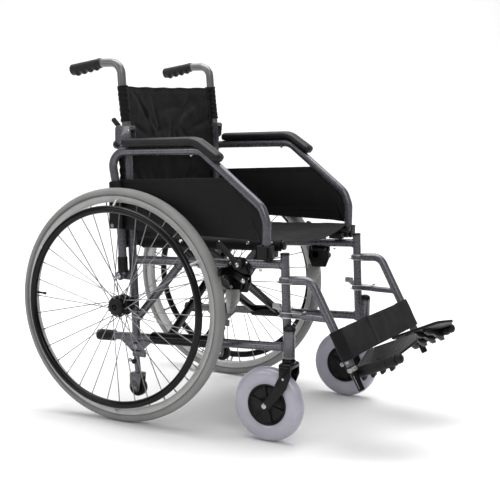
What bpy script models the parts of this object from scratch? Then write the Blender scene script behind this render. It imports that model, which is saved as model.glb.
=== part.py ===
"""Folding manual wheelchair with a scissor frame, swing-away legrests, flip-back
armrests, a half-folding back and quick-release rear wheels.

The chair faces -Y, its left side is +X, and it stands on z = 0.  Every size and
place below is in millimetres, counted from the rear axle (y) and the floor (z).
`build_object` turns them into metres and moves the origin to the middle of the
chair's footprint.
"""
import math

import bmesh
import bpy
from mathutils import Matrix, Vector

# ---------------------------------------------------------------- driving sizes
MM = 0.001
AXLE_BEHIND_ORIGIN = 222.0      # the rear axle's place in the finished frame
PITCH = math.radians(3.35)      # the side frames rise towards the front
CLEAR = 0.3                     # gap kept between pieces that touch

TUBE_R = 11.0                   # 22 mm frame tube
FRAME_X = 230.0                 # plane of the side frames
ARMREST_X = 257.0               # plane of the armrest tubes
SEAT_RAIL_X = 205.0
WHEEL_X = 291.0                 # plane of the rear wheels
HANDRIM_X = 326.0
CASTOR_X = 246.0

RAIL_Z = 212.0                  # lower rail's height at the rear axle
UPPER_H = 205.0                 # upper rail above the lower one
POST_S = 451.5                  # front post, forward of the axle along the rails
REAR_S = 9.5                    # rear post
POST_TOP_H = 540.0              # rear post's top, where the upper cane stands on it
BACK_SPLIT_H = 504.0            # seam between the two back panels
SLEEVE_TOP_H = 657.0

WHEEL_R = 305.0
WHEEL_HALF = 16.5
RIM_OUT_R = 283.0
RIM_IN_R = 268.0
HANDRIM_R = 253.0
SPOKES = 36
WHEEL_SIDES = 40

CASTOR_Y = -462.0               # castor stem
CASTOR_TRAIL = 51.0
CASTOR_R = 94.0
CASTOR_HUB_R = 52.0

BRACE_Y = (-108.0, -219.0)      # the two arms of brace A
BRACE_STEP = 18.0               # brace B's arms lie this far inside them
SEAT_FRONT_S = 440.0
SEAT_REAR_S = 20.0
SEAT_H = 249.0                  # seat rails above the lower rails

ARM_PIVOT = (22.0, 378.0)       # armrest hinge (y, z)
BACK_PIVOT = (46.0, 716.0)      # back hinge (y, z)
BRAKE_PIVOT = (-322.0, 436.0)
SHOE_PIVOT = (-340.0, 398.0)
BARREL_REAR = (-622.0, 190.0)   # footplate hinge barrel (y, z)
BARREL_FRONT = (-722.0, 236.0)
BARREL_X = 200.0
TRANSIT_AXLE = (-16.0, 79.0)
STRAP_START = 130.8             # calf strap's upper edge, down the hanger from its bend
STRAP_DEPTH = 70.0
STRAP_OFFSET = 15.0             # strap's plane in front of the hanger's axis
STRAP_LAYER = 2.4               # the left half lies this far in front of the right one
STRAP_OVERLAP = 40.0            # each half reaches this far past the middle

for old in list(bpy.data.objects):
    bpy.data.objects.remove(old)


# ---------------------------------------------------------------- materials
def material(name, colour, roughness, metallic=0.0):
    mat = bpy.data.materials.new(name)
    mat.use_nodes = True
    shader = mat.node_tree.nodes["Principled BSDF"]
    shader.inputs["Base Color"].default_value = (*colour, 1.0)
    shader.inputs["Roughness"].default_value = roughness
    shader.inputs["Metallic"].default_value = metallic
    return mat


FRAME_PAINT = material("frame_paint", (0.20, 0.20, 0.24), 0.35, 0.6)
BLACK_PAINT = material("black_paint", (0.02, 0.02, 0.02), 0.35, 0.3)
BLACK_PLASTIC = material("black_plastic", (0.03, 0.03, 0.03), 0.5)
PANEL_PLASTIC = material("panel_plastic", (0.05, 0.05, 0.05), 0.55)
GREY_TYRE = material("grey_tyre", (0.35, 0.35, 0.34), 0.7)
CASTOR_TYRE = material("castor_tyre", (0.42, 0.41, 0.47), 0.35)
RIM_ALLOY = material("rim_alloy", (0.55, 0.55, 0.55), 0.4, 0.8)
BRIGHT_STEEL = material("bright_steel", (0.7, 0.7, 0.72), 0.25, 1.0)
NYLON = material("nylon", (0.02, 0.02, 0.02), 0.85)
PAD_SKIN = material("pad_skin", (0.03, 0.03, 0.03), 0.45)


# ---------------------------------------------------------------- shape tools
def build_object(name, bm, mat):
    """Turn a millimetre bmesh into a closed object in metres."""
    bmesh.ops.recalc_face_normals(bm, faces=bm.faces)
    bm.transform(Matrix.Translation((0, AXLE_BEHIND_ORIGIN * MM, 0)) @ Matrix.Scale(MM, 4))
    mesh = bpy.data.meshes.new(name)
    bm.to_mesh(mesh)
    bm.free()
    mesh.materials.append(mat)
    mesh.shade_smooth()
    mesh.set_sharp_from_angle(angle=math.radians(35))
    obj = bpy.data.objects.new(name, mesh)
    bpy.context.scene.collection.objects.link(obj)
    return obj


def combine(target, tools, operation="UNION"):
    """Boolean every tool into the target, then remove the tools."""
    for tool in tools:
        step = target.modifiers.new("join", "BOOLEAN")
        step.operation = operation
        step.solver = "EXACT"
        step.object = tool
        bpy.context.view_layer.update()
        graph = bpy.context.evaluated_depsgraph_get()
        mesh = bpy.data.meshes.new_from_object(target.evaluated_get(graph))
        target.modifiers.clear()
        target.data = mesh
        bpy.data.objects.remove(tool)
    return target


def rounded_path(points, bend):
    """Replace each corner of a path by an arc of the given radius."""
    points = [Vector(p) for p in points]
    path = [points[0]]
    for before, corner, after in zip(points, points[1:], points[2:]):
        a = (before - corner).normalized()
        b = (after - corner).normalized()
        turn = math.pi - a.angle(b)
        if turn < 0.02:
            path.append(corner)
            continue
        reach = min(bend * math.tan(turn / 2), 0.48 * (before - corner).length,
                    0.48 * (after - corner).length)
        radius = reach / math.tan(turn / 2)
        centre = corner + (a + b).normalized() * (radius / math.cos(turn / 2))
        start = corner + a * reach - centre
        axis = start.cross(corner + b * reach - centre)
        steps = max(2, math.ceil(turn / math.radians(18)))
        path += [centre + Matrix.Rotation(turn * i / steps, 3, axis) @ start
                 for i in range(steps + 1)]
    return path + [points[-1]]


def tube(name, points, radius, mat, bend=40.0, sides=12, flat=1.0):
    """A solid round bar along a path; flat squeezes it along its first normal."""
    path = rounded_path(points, bend)
    bm = bmesh.new()
    along = (path[1] - path[0]).normalized()
    normal = along.orthogonal().normalized()
    if abs(along.x) < 0.9:
        normal = (Vector((1, 0, 0)) - along * along.x).normalized()
    rings = []
    for i, centre in enumerate(path):
        ahead = path[min(i + 1, len(path) - 1)] - path[max(i - 1, 0)]
        along = ahead.normalized()
        normal = (normal - along * normal.dot(along)).normalized()
        side = along.cross(normal)
        ring = []
        for k in range(sides):
            turn = 2 * math.pi * (k + 0.5) / sides
            ring.append(bm.verts.new(centre + normal * (math.cos(turn) * radius * flat)
                                     + side * (math.sin(turn) * radius)))
        rings.append(ring)
    for near, far in zip(rings, rings[1:]):
        for k in range(sides):
            n = (k + 1) % sides
            bm.faces.new((near[k], near[n], far[n], far[k]))
    bm.faces.new(rings[0])
    bm.faces.new(rings[-1])
    return build_object(name, bm, mat)


def turned(name, profile, centre, mat, segments=24, axis="X", closed=False):
    """Spin an (axial, radial) profile about an axis through centre."""
    centre = Vector(centre)
    frames = {"X": (Vector((1, 0, 0)), Vector((0, 1, 0)), Vector((0, 0, 1))),
              "Z": (Vector((0, 0, 1)), Vector((1, 0, 0)), Vector((0, 1, 0)))}
    along, first, second = frames[axis]
    bm = bmesh.new()
    rings = []
    for axial, radial in profile:
        if radial < 1e-6:
            rings.append([bm.verts.new(centre + along * axial)])
            continue
        ring = []
        for k in range(segments):
            turn = 2 * math.pi * k / segments
            out = first * math.cos(turn) + second * math.sin(turn)
            ring.append(bm.verts.new(centre + along * axial + out * radial))
        rings.append(ring)
    pairs = list(zip(rings, rings[1:]))
    if closed:
        pairs.append((rings[-1], rings[0]))
    for near, far in pairs:
        for k in range(segments):
            n = (k + 1) % segments
            if len(near) == 1:
                bm.faces.new((near[0], far[n], far[k]))
            elif len(far) == 1:
                bm.faces.new((near[k], near[n], far[0]))
            else:
                bm.faces.new((near[k], near[n], far[n], far[k]))
    return build_object(name, bm, mat)


def rod(name, start, end, radius, mat, sides=12):
    return tube(name, (start, end), radius, mat, sides=sides)


def plate(name, outline, thickness, origin, across, up, mat):
    """Extrude a flat outline, centred on its plane."""
    across = Vector(across).normalized()
    up = Vector(up).normalized()
    out = across.cross(up).normalized() * (thickness / 2)
    bm = bmesh.new()
    faces = []
    for sign in (-1, 1):
        faces.append([bm.verts.new(Vector(origin) + across * a + up * b + out * sign)
                      for a, b in outline])
    count = len(outline)
    bm.faces.new(faces[0])
    bm.faces.new(faces[1])
    for k in range(count):
        n = (k + 1) % count
        bm.faces.new((faces[0][k], faces[0][n], faces[1][n], faces[1][k]))
    return build_object(name, bm, mat)


def block(name, low, high, mat):
    (ax, ay, az), (bx, by, bz) = low, high
    left, right = min(ax, bx), max(ax, bx)
    outline = [(ay, az), (by, az), (by, bz), (ay, bz)]
    return plate(name, outline, right - left, ((left + right) / 2, 0, 0),
                 (0, 1, 0), (0, 0, 1), mat)


def side_view(name, outline, x, thickness, mat):
    """A plate in a fore-and-aft plane, outlined in (y, z)."""
    return plate(name, outline, thickness, (x, 0, 0), (0, 1, 0), (0, 0, 1), mat)


def arc(centre, radius, start, end, steps):
    """Points on an arc, in degrees, in the plane of the outline."""
    points = []
    for i in range(steps + 1):
        turn = math.radians(start + (end - start) * i / steps)
        points.append((centre[0] + radius * math.cos(turn), centre[1] + radius * math.sin(turn)))
    return points


# ---------------------------------------------------------------- frame axes
FORWARD = Vector((0, -math.cos(PITCH), math.sin(PITCH)))
UPWARD = Vector((0, math.sin(PITCH), math.cos(PITCH)))


def on_frame(x, s, h):
    """A point s forward along the rails and h above the lower one."""
    return Vector((x, 0, RAIL_Z)) + FORWARD * s + UPWARD * h


# ---------------------------------------------------------------- side frame
def side_frame(side, word):
    x = side * FRAME_X
    frame = tube(word + "_side_frame", (on_frame(x, -57, 0), on_frame(x, POST_S, 0)),
                 TUBE_R, FRAME_PAINT)
    upper_rail = rod("t", on_frame(x, REAR_S, UPPER_H), on_frame(x, POST_S, UPPER_H),
                     TUBE_R - 0.2, FRAME_PAINT)
    front_post = rod("t", on_frame(x, POST_S, -13), on_frame(x, POST_S, 231), TUBE_R + 0.1, FRAME_PAINT)
    rear_post = rod("t", on_frame(x, REAR_S, -13), on_frame(x, REAR_S, POST_TOP_H),
                    TUBE_R + 0.1, FRAME_PAINT)
    diagonal = rod("t", on_frame(x, REAR_S + 2, 46), on_frame(x, 158, UPPER_H - 3), TUBE_R - 0.6,
                   FRAME_PAINT)
    housing = turned("t", ((-35, 0), (-35, 15), (35, 15), (39, 13), (42, 7), (42, 0)),
                     (side * CASTOR_X, CASTOR_Y, 250), FRAME_PAINT, 16, "Z")
    gusset = side_view("t", ((34, 206), (34, 197), (2, 172), (-24, 174), (-60, 206)), x, 8, FRAME_PAINT)
    boss = block("t", (side * 228, -6, 366), (side * 245.4, 32, 390), FRAME_PAINT)
    pin = rod("t", (side * 240, *ARM_PIVOT), (side * 269, *ARM_PIVOT), 5.0, FRAME_PAINT)
    ear = side_view("t", [(12, 694)] + arc(BACK_PIVOT, 11, -60, 90, 5) + [(12, 730)], x, 19,
                    FRAME_PAINT)
    hinge_pin = rod("t", (x - 13, *BACK_PIVOT), (x + 13, *BACK_PIVOT), 4, FRAME_PAINT, 10)
    shackle = block("t", (side * 226, -40, 160), (side * 234, 4, 178), FRAME_PAINT)
    combine(frame, (upper_rail, front_post, rear_post, diagonal, housing, gusset, boss, pin, ear,
                    hinge_pin, shackle))
    return frame


def tipping_grip(side, word):
    tube(word + "_tipping_grip", (on_frame(side * FRAME_X, -57.5, 0), on_frame(side * FRAME_X, -113, 0)),
         14.5, BLACK_PLASTIC)


def armrest_socket(side, word):
    """Black cradle on the upper rail: armrest foot outside, seat rail inside."""
    socket = block(word + "_armrest_socket", (side * 222, -421, 454), (side * 276, -366, 490),
                   BLACK_PLASTIC)
    saddle = block("t", (side * 196, -404, 455), (side * 223, -368, 472), BLACK_PLASTIC)
    combine(socket, (saddle,))
    slot = block("t", (side * 246.5, -411.5, 460), (side * 290, -374, 500), BLACK_PLASTIC)
    combine(socket, (slot,), "DIFFERENCE")


def transit_bracket(side, word):
    """Short stem and fork that hold the small transit wheel under the axle."""
    x = side * FRAME_X
    stem = rod(word + "_transit_bracket", (x, -9, 158.4), (x, -15, 116), 8, FRAME_PAINT)
    crown = block("t", (x - 14, -32, 108), (x + 14, 4, 118), FRAME_PAINT)
    parts = [crown]
    for offset in (-12.5, 12.5):
        outline = [(4, 116), (-32, 116), (-28, 72)] + arc(TRANSIT_AXLE, 9, 225, 315, 3) + [(2, 72)]
        parts.append(side_view("t", outline, x + offset, 3.5, FRAME_PAINT))
    combine(stem, parts)
    axle = rod("t", (x - 15, *TRANSIT_AXLE), (x + 15, *TRANSIT_AXLE), 3.5, FRAME_PAINT, 10)
    combine(stem, (axle,))


def transit_wheel(side, word):
    profile = ((-9, 4.2), (-9, 21), (-6, 24.5), (6, 24.5), (9, 21), (9, 4.2))
    turned(word + "_transit_wheel", profile, (side * FRAME_X, *TRANSIT_AXLE), BLACK_PLASTIC,
           16, closed=True)


# ---------------------------------------------------------------- rear wheels
def facing(side, profile):
    """Turn a profile drawn outwards to the left so that it also faces outwards on the right."""
    if side > 0:
        return profile
    return [(-axial, radial) for axial, radial in reversed(profile)]


def axle(side, word):
    """Black receiver barrel against the rear post, and the axle pin in it."""
    profile = ((0, 0), (0, 14), (21, 14), (21, 6), (66, 6), (66, 0))
    turned(word + "_axle", facing(side, profile), (side * 242, 0, WHEEL_R), BLACK_PLASTIC, 16)


def axle_button(side, word):
    rod(word + "_axle_button", (side * 313.6, 0, WHEEL_R), (side * 321, 0, WHEEL_R), 4.5,
        BRIGHT_STEEL, 10)


def rear_tyre(side, word):
    w = WHEEL_HALF
    profile = ((-w + 4, RIM_OUT_R + CLEAR), (-w, 291), (-w + 1.5, 299), (-w + 8, WHEEL_R),
               (w - 8, WHEEL_R), (w - 1.5, 299), (w, 291), (w - 4, RIM_OUT_R + CLEAR))
    turned(word + "_rear_tyre", profile, (side * WHEEL_X, 0, WHEEL_R), GREY_TYRE, WHEEL_SIDES, closed=True)


def rear_wheel(side, word):
    """Hub, spokes and rim, welded into one wheel."""
    centre = (side * WHEEL_X, 0, WHEEL_R)
    rim = turned(word + "_rear_wheel", ((-11, RIM_IN_R + 6), (-7, RIM_IN_R), (7, RIM_IN_R),
                                        (11, RIM_IN_R + 6), (11, RIM_OUT_R), (-11, RIM_OUT_R)),
                 centre, RIM_ALLOY, WHEEL_SIDES, closed=True)
    profile = ((-26, 6.8), (-26, 15), (-19, 15), (-19, 27), (-14, 27), (-14, 16), (10, 16), (10, 27),
               (15, 27), (15, 20), (21.5, 17), (21.5, 6.8))
    hub = turned("t", facing(side, profile), centre, RIM_ALLOY, 16, closed=True)
    spokes = []
    for k in range(SPOKES):
        flange = 12.5 if k % 2 else -16.5
        forwards = (k // 2) % 2
        lean = math.radians(38 if forwards else -38)
        lane = 1.9 if forwards else -1.9
        at_rim = 2 * math.pi * k / SPOKES
        at_hub = at_rim + lean
        start = Vector((side * (WHEEL_X + flange + lane), 23.5 * math.cos(at_hub),
                        WHEEL_R + 23.5 * math.sin(at_hub)))
        end = Vector((side * (WHEEL_X + flange * 0.2 + lane), (RIM_IN_R + 4) * math.cos(at_rim),
                      WHEEL_R + (RIM_IN_R + 4) * math.sin(at_rim)))
        spokes.append(rod("t", start, end, 1.5, RIM_ALLOY, 3))
    combine(rim, [hub] + spokes)


def handrim(side, word):
    turns = 6
    section = [(9.5 * math.cos(2 * math.pi * (k + 0.5) / turns),
                HANDRIM_R + 9.5 * math.sin(2 * math.pi * (k + 0.5) / turns)) for k in range(turns)]
    ring = turned(word + "_handrim", section, (side * HANDRIM_X, 0, WHEEL_R), BLACK_PAINT, WHEEL_SIDES,
                  closed=True)
    lugs = []
    for k in range(6):
        turn = 2 * math.pi * (k + 0.5) / 6
        out = Vector((0, math.cos(turn), math.sin(turn)))
        middle = Vector((0, 0, WHEEL_R))
        lugs.append(rod("t", middle + out * (RIM_IN_R + 8) + Vector((side * (WHEEL_X + 14.6), 0, 0)),
                        middle + out * (HANDRIM_R + 2) + Vector((side * HANDRIM_X, 0, 0)), 4,
                        BLACK_PAINT, 6))
    combine(ring, lugs)


# ---------------------------------------------------------------- castors
def castor(side, word):
    x = side * CASTOR_X
    axle_y = CASTOR_Y + CASTOR_TRAIL
    fork = turned(word + "_castor_fork", ((0, 0), (0, 16), (14, 16), (14, 0)),
                  (x, CASTOR_Y, 200.5), BLACK_PAINT, 16, "Z")
    parts = [block("t", (x - 27, CASTOR_Y - 14, 192), (x + 27, CASTOR_Y + 22, 205), BLACK_PAINT)]
    for offset in (-24.5, 24.5):
        outline = [(CASTOR_Y - 12, 202), (CASTOR_Y - 10, 170)]
        outline += arc((axle_y, CASTOR_R), 13, 215, 395, 6)
        outline += [(CASTOR_Y + 20, 170), (CASTOR_Y + 20, 202)]
        parts.append(side_view("t", outline, x + offset, 5, BLACK_PAINT))
    parts.append(rod("t", (x - 25, axle_y, CASTOR_R), (x + 25, axle_y, CASTOR_R), 5, BLACK_PAINT))
    combine(fork, parts)
    centre = (x, axle_y, CASTOR_R)
    turned(word + "_castor_tyre", ((-14, CASTOR_HUB_R + CLEAR), (-18, 62), (-18, 76), (-11, 89),
                                   (-4, CASTOR_R), (4, CASTOR_R), (11, 89), (18, 76), (18, 62),
                                   (14, CASTOR_HUB_R + CLEAR)), centre, CASTOR_TYRE, 24, closed=True)
    turned(word + "_castor_wheel", ((-20, 5.4), (-20, 14), (-8, 18), (-8, 42), (-13, CASTOR_HUB_R),
                                    (13, CASTOR_HUB_R), (8, 42), (8, 18), (20, 14), (20, 5.4)),
           centre, BLACK_PLASTIC, 24, closed=True)


# ---------------------------------------------------------------- parking brake
def brake(side, word):
    body = block(word + "_brake_body", (side * 241.5, -350, 396), (side * 247, -286, 452), BLACK_PAINT)
    foot = block("t", (side * 224, -350, 396), (side * 246, -300, 421), BLACK_PAINT)
    tail = side_view("t", ((-300, 398), (-346, 398), (-336, 352), (-318, 340), (-306, 352)),
                     side * 244, 4, BLACK_PAINT)
    pins = [rod("t", (side * 246, *BRAKE_PIVOT), (side * 262, *BRAKE_PIVOT), 4, BLACK_PAINT, 10),
            rod("t", (side * 246, *SHOE_PIVOT), (side * 262, *SHOE_PIVOT), 4, BLACK_PAINT, 10)]
    combine(body, [foot, tail] + pins)

    lever = tube(word + "_brake_lever", ((side * 257, -272, 484), (side * 257, -320, 438)), 8.5, BLACK_PLASTIC, 30, 10,
                 0.55)
    hub = turned("t", ((-4.5, 0), (-4.5, 13), (4.5, 13), (4.5, 0)), (side * 256, *BRAKE_PIVOT),
                 BLACK_PAINT, 16)
    combine(lever, (hub,))
    bore = rod("t", (side * 240, *BRAKE_PIVOT), (side * 266, *BRAKE_PIVOT), 4.5, BLACK_PAINT, 12)
    combine(lever, (bore,), "DIFFERENCE")

    shoe = side_view(word + "_brake_shoe", [(-296, 424)] + arc(SHOE_PIVOT, 10, 100, 300, 6)
                     + [(-292, 412)], side * 256, 6, FRAME_PAINT)
    tread = block("t", (side * 253, -298, 411), (side * 303, -292, 429), FRAME_PAINT)
    combine(shoe, (tread,))
    bore = rod("t", (side * 240, *SHOE_PIVOT), (side * 266, *SHOE_PIVOT), 4.5, BLACK_PAINT, 12)
    combine(shoe, (bore,), "DIFFERENCE")


# ---------------------------------------------------------------- armrests
ARM_PATH = ((16, 392), (20, 480), (36, 607), (54, 698), (-212, 713), (-386, 581), (-400, 545),
            (-400, 491))


def armrest(side, word):
    x = side * ARMREST_X
    path = [(x, y, z) for y, z in ARM_PATH]
    frame = tube(word + "_armrest_tube", path, TUBE_R, FRAME_PAINT, 42)
    plunger = rod("t", (x, -400, 461), (x, -400, 494), 7.5, FRAME_PAINT)
    lug = turned("t", ((-6.5, 0), (-6.5, 13), (6.5, 13), (6.5, 0)), (x, *ARM_PIVOT), FRAME_PAINT, 16)
    neck = block("t", (x - 6, 9, 380), (x + 6, 29, 396), FRAME_PAINT)
    combine(frame, (plunger, lug, neck))
    bore = rod("t", (x - 20, *ARM_PIVOT), (x + 20, *ARM_PIVOT), 5.5, FRAME_PAINT)
    combine(frame, (bore,), "DIFFERENCE")

    panel = side_view(word + "_side_panel",
                      ((50, 500), (50, 614), (46, 627), (-291, 649), (-382, 581), (-400, 545),
                       (-364, 503), (-352, 522)), x, 4, PANEL_PLASTIC)
    sleeve = side_view("t", ((8, 502), (50, 502), (50, 614), (44, 627), (20, 627), (8, 560)), x, 27,
                       PANEL_PLASTIC)
    combine(panel, (sleeve,))
    channel = tube("t", path, TUBE_R + 0.5, PANEL_PLASTIC, 42)
    combine(panel, (channel,), "DIFFERENCE")
    keep_largest(panel)

    pad_x = side * 264.5
    top = [(10, 731), (-205, 745), (-232, 741), (-284, 703)]
    bottom = [(-270, 684), (-222, 719.6), (-205, 724.8), (10, 712.6)]
    pad = side_view(word + "_armrest_pad", top + bottom, pad_x, 42, PAD_SKIN)
    groove = tube("t", path, TUBE_R + 0.4, PAD_SKIN, 42)
    combine(pad, (groove,), "DIFFERENCE")


def keep_largest(obj):
    """Drop slivers that a cut leaves loose from the main body."""
    bm = bmesh.new()
    bm.from_mesh(obj.data)
    left = set(bm.verts)
    islands = []
    while left:
        stack = [left.pop()]
        island = set(stack)
        while stack:
            vert = stack.pop()
            for edge in vert.link_edges:
                other = edge.other_vert(vert)
                if other not in island:
                    island.add(other)
                    left.discard(other)
                    stack.append(other)
        islands.append(island)
    islands.sort(key=len)
    for island in islands[:-1]:
        bmesh.ops.delete(bm, geom=list(island), context="VERTS")
    bm.to_mesh(obj.data)
    bm.free()


# ---------------------------------------------------------------- back
def upper_back(side, word):
    """Cane above the back hinge, its grip, and the hinge's lock lever."""
    x = side * FRAME_X
    path = (on_frame(x, REAR_S, POST_TOP_H + 1), on_frame(x, 1.5, SLEEVE_TOP_H), (x, 42, 926),
            (x, 96, 926))
    cane = tube(word + "_upper_cane", path, TUBE_R, FRAME_PAINT, 46)
    outline = [(48, 727)] + arc(BACK_PIVOT, 10, 40, -90, 5) + [(35, 722), (32, 758), (37, 764)]
    cheeks = [side_view("t", outline, x + offset, 2.4, FRAME_PAINT) for offset in (-11.5, 11.5)]
    bridge = block("t", (x - 12, 29, 753.5), (x + 12, 37, 764), FRAME_PAINT)
    combine(cane, cheeks + [bridge])
    bore = rod("t", (x - 16, *BACK_PIVOT), (x + 16, *BACK_PIVOT), 4.4, FRAME_PAINT, 10)
    combine(cane, (bore,), "DIFFERENCE")

    tube(word + "_grip", ((x, 99, 925.4), (x, 196, 905)), 15, BLACK_PLASTIC)
    lever = tube(word + "_back_release", ((x, 48, 764), (x, 66, 782)), 7, BLACK_PLASTIC, sides=10)
    combine(lever, (rod("t", (x - 8, 47, 763), (x + 8, 47, 763), 4, BLACK_PLASTIC, 10),))


def back_panels():
    """Plain solids for the two halves of the back upholstery."""
    half = FRAME_X - 14.0
    low = on_frame(0, REAR_S, BACK_SPLIT_H + 2)
    high = on_frame(0, 1.5, SLEEVE_TOP_H)
    outline = [(-half, 0), (half, 0), (half, (high - low).length), (-half, (high - low).length)]
    plate("back_upper", outline, 8, low, (1, 0, 0), high - low, NYLON)
    low = on_frame(0, REAR_S, 300)
    high = on_frame(0, REAR_S, BACK_SPLIT_H - 2)
    outline = [(-half, 0), (half, 0), (half, (high - low).length), (-half, (high - low).length)]
    plate("back_lower", outline, 8, low, (1, 0, 0), high - low, NYLON)


# ---------------------------------------------------------------- cross brace and seat
def brace(word, foot_side, inset):
    """Two flat arms, the hinge sleeve at their feet and the seat rail at their heads."""
    foot_x = foot_side * FRAME_X
    head_x = -foot_side * SEAT_RAIL_X
    rail = rod(word, on_frame(head_x, SEAT_REAR_S, SEAT_H), on_frame(head_x, SEAT_FRONT_S, SEAT_H),
               TUBE_R, BLACK_PAINT)
    stations = [-BRACE_Y[0] + inset, -BRACE_Y[1] - inset]
    parts = []
    for s in stations:
        foot = on_frame(foot_x, s, 0)
        head = on_frame(head_x, s, SEAT_H)
        along = (head - foot).normalized()
        parts.append(arm_bar(foot + along * 13.5, head, along))
    start, end = stations[0] - 28 + inset, stations[1] + 28 - inset
    sleeve = rod("t", on_frame(foot_x, start, 0), on_frame(foot_x, end, 0), 16, BLACK_PAINT)
    combine(sleeve, parts + [rail_bolt(s) for s in stations if foot_side < 0])
    bore = rod("t", on_frame(foot_x, start - 5, 0), on_frame(foot_x, end + 5, 0), TUBE_R + 0.5,
               BLACK_PAINT)
    combine(sleeve, (bore,), "DIFFERENCE")
    combine(rail, (sleeve,))


def arm_bar(start, end, along):
    """A flat bar 22 mm deep and 12 mm thick."""
    across = FORWARD
    up = along.cross(across).normalized()
    outline = [(-6, -9), (-4, -11), (4, -11), (6, -9), (6, 9), (4, 11), (-4, 11), (-6, 9)]
    bm = bmesh.new()
    rings = []
    for centre in (start, end):
        rings.append([bm.verts.new(centre + across * a + up * b) for a, b in outline])
    count = len(outline)
    for k in range(count):
        n = (k + 1) % count
        bm.faces.new((rings[0][k], rings[0][n], rings[1][n], rings[1][k]))
    bm.faces.new(rings[0])
    bm.faces.new(rings[1])
    return build_object("t", bm, BLACK_PAINT)


def rail_bolt(s):
    """Head of the pivot bolt, standing on the outer face of brace A's arm."""
    h = SEAT_H * FRAME_X / (FRAME_X + SEAT_RAIL_X)
    direction = -1 if s < 150 else 1
    return rod("t", on_frame(0, s, h), on_frame(0, s + direction * 12, h), 8, BLACK_PAINT)


def seat():
    """Plain solid of the slung seat, between the seat rails."""
    half = SEAT_RAIL_X + TUBE_R + 2
    inner = SEAT_RAIL_X - TUBE_R - 1.0
    edge = [(half, 22), (half, 12.5), (inner, 12.5), (inner - 14, 5), (inner - 36, -2)]
    outline = edge + [(-a, b) for a, b in reversed(edge)]
    base = on_frame(0, (SEAT_REAR_S + SEAT_FRONT_S) / 2, SEAT_H)
    plate("seat_sling", outline, SEAT_FRONT_S - SEAT_REAR_S - 24, base, (1, 0, 0), UPWARD, NYLON)


# ---------------------------------------------------------------- legrests
HANGER_BEND = (-510, 409)
HANGER_END = (-619, 212)


def legrest(side, word):
    x = side * FRAME_X
    collar = on_frame(x, POST_S, 167)
    hanger = tube(word + "_legrest", ((x, collar.y - 14, 405), (x, *HANGER_BEND), (x, *HANGER_END)),
                  TUBE_R, FRAME_PAINT, 26)
    hoops = []
    for h in (167, 81):
        low, high = on_frame(x, POST_S, h - 5), on_frame(x, POST_S, h + 5)
        hoops.append(rod("t", low, high, 17, FRAME_PAINT, 16))
    strut = rod("t", (x, -450, 319), (x, -561, 319), 7.5, FRAME_PAINT)
    combine(hanger, hoops + [strut])
    bore = rod("t", on_frame(x, POST_S, 60), on_frame(x, POST_S, 225), TUBE_R + 0.9, FRAME_PAINT, 16)
    combine(hanger, (bore,), "DIFFERENCE")

    latch = block(word + "_latch_lever", (x - 5, -429, 331), (x + 5, -408, 344), FRAME_PAINT)
    combine(latch, (side_view("t", ((-434, 326), (-434, 334), (-414, 340), (-414, 332)), x, 9,
                              FRAME_PAINT),))

    axis = (Vector((0, *HANGER_END)) - Vector((0, *HANGER_BEND))).normalized()
    top = Vector((x, *HANGER_END)) + axis * 0.4
    foot = tube(word + "_foot_tube", (top, top + axis * 62), 8.5, BLACK_PAINT)
    rear, front, along, up = barrel_axes()
    offset = Vector((side * BARREL_X, 0, 0))
    knuckle = offset + rear - along * 7.5
    parts = [rod("t", knuckle - along * 6, knuckle + along * 7, 13, BLACK_PAINT, 14),
             rod("t", knuckle, top + axis * 16, 7, BLACK_PAINT)]
    combine(foot, parts)
    clear = rod("t", offset + rear - along * 0.4, offset + front, 14.6, BLACK_PAINT, 14)
    combine(foot, (clear,), "DIFFERENCE")
    combine(foot, (rod("t", knuckle, offset + rear + along * 40, 4.5, BLACK_PAINT, 10),))


def barrel_axes():
    rear = Vector((0, *BARREL_REAR))
    front = Vector((0, *BARREL_FRONT))
    along = (front - rear).normalized()
    up = along.cross(Vector((-1, 0, 0)))
    return rear, front, along, up if up.z > 0 else -up


def footplate(side, word):
    """Ribbed tread plate and its hinge barrel."""
    rear, front, along, up = barrel_axes()
    x = side * BARREL_X
    offset = Vector((x, 0, 0))
    barrel = rod(word + "_footplate", offset + rear, offset + front, 14, BLACK_PLASTIC, 14)
    raise_by = math.radians(12)
    inward = Vector((-side * math.cos(raise_by), 0, 0)) + up * math.sin(raise_by)
    tread = plate("t", ((0, 2), (20, 2), (118, -6), (122, 10), (122, 104), (104, 138),
                         (60, 148), (0, 106)), 7,
                  offset + rear + up * 9, inward, along, BLACK_PLASTIC)
    ribs = []
    for step in (14, 42, 70, 98):
        ribs.append(plate("t", ((8, 0), (118, 0), (112, -16), (8, -20)), 6,
                          offset + rear + along * step + up * 8, inward,
                          up * math.cos(raise_by) + Vector((side, 0, 0)) * math.sin(raise_by),
                          BLACK_PLASTIC))
    combine(barrel, [tread] + ribs)
    bore = rod("t", offset + rear - along * 5, offset + rear + along * 44, 5.2, BLACK_PLASTIC, 10)
    combine(barrel, (bore,), "DIFFERENCE")


def calf_strap(side, word):
    """One half of the calf strap, in front of the hangers; its end overlaps the other half."""
    bend = Vector((0, *HANGER_BEND))
    down = (Vector((0, *HANGER_END)) - bend).normalized()
    forwards = Vector((0, down.z, -down.y))
    origin = bend + down * STRAP_START + forwards * STRAP_OFFSET
    if side > 0:
        origin.y -= STRAP_LAYER
    outline = [(side * 247, 0), (-side * STRAP_OVERLAP, 0), (-side * STRAP_OVERLAP, STRAP_DEPTH),
               (side * 247, STRAP_DEPTH)]
    plate(word + "_calf_strap", outline, 2, origin, (1, 0, 0), down, NYLON)


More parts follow.
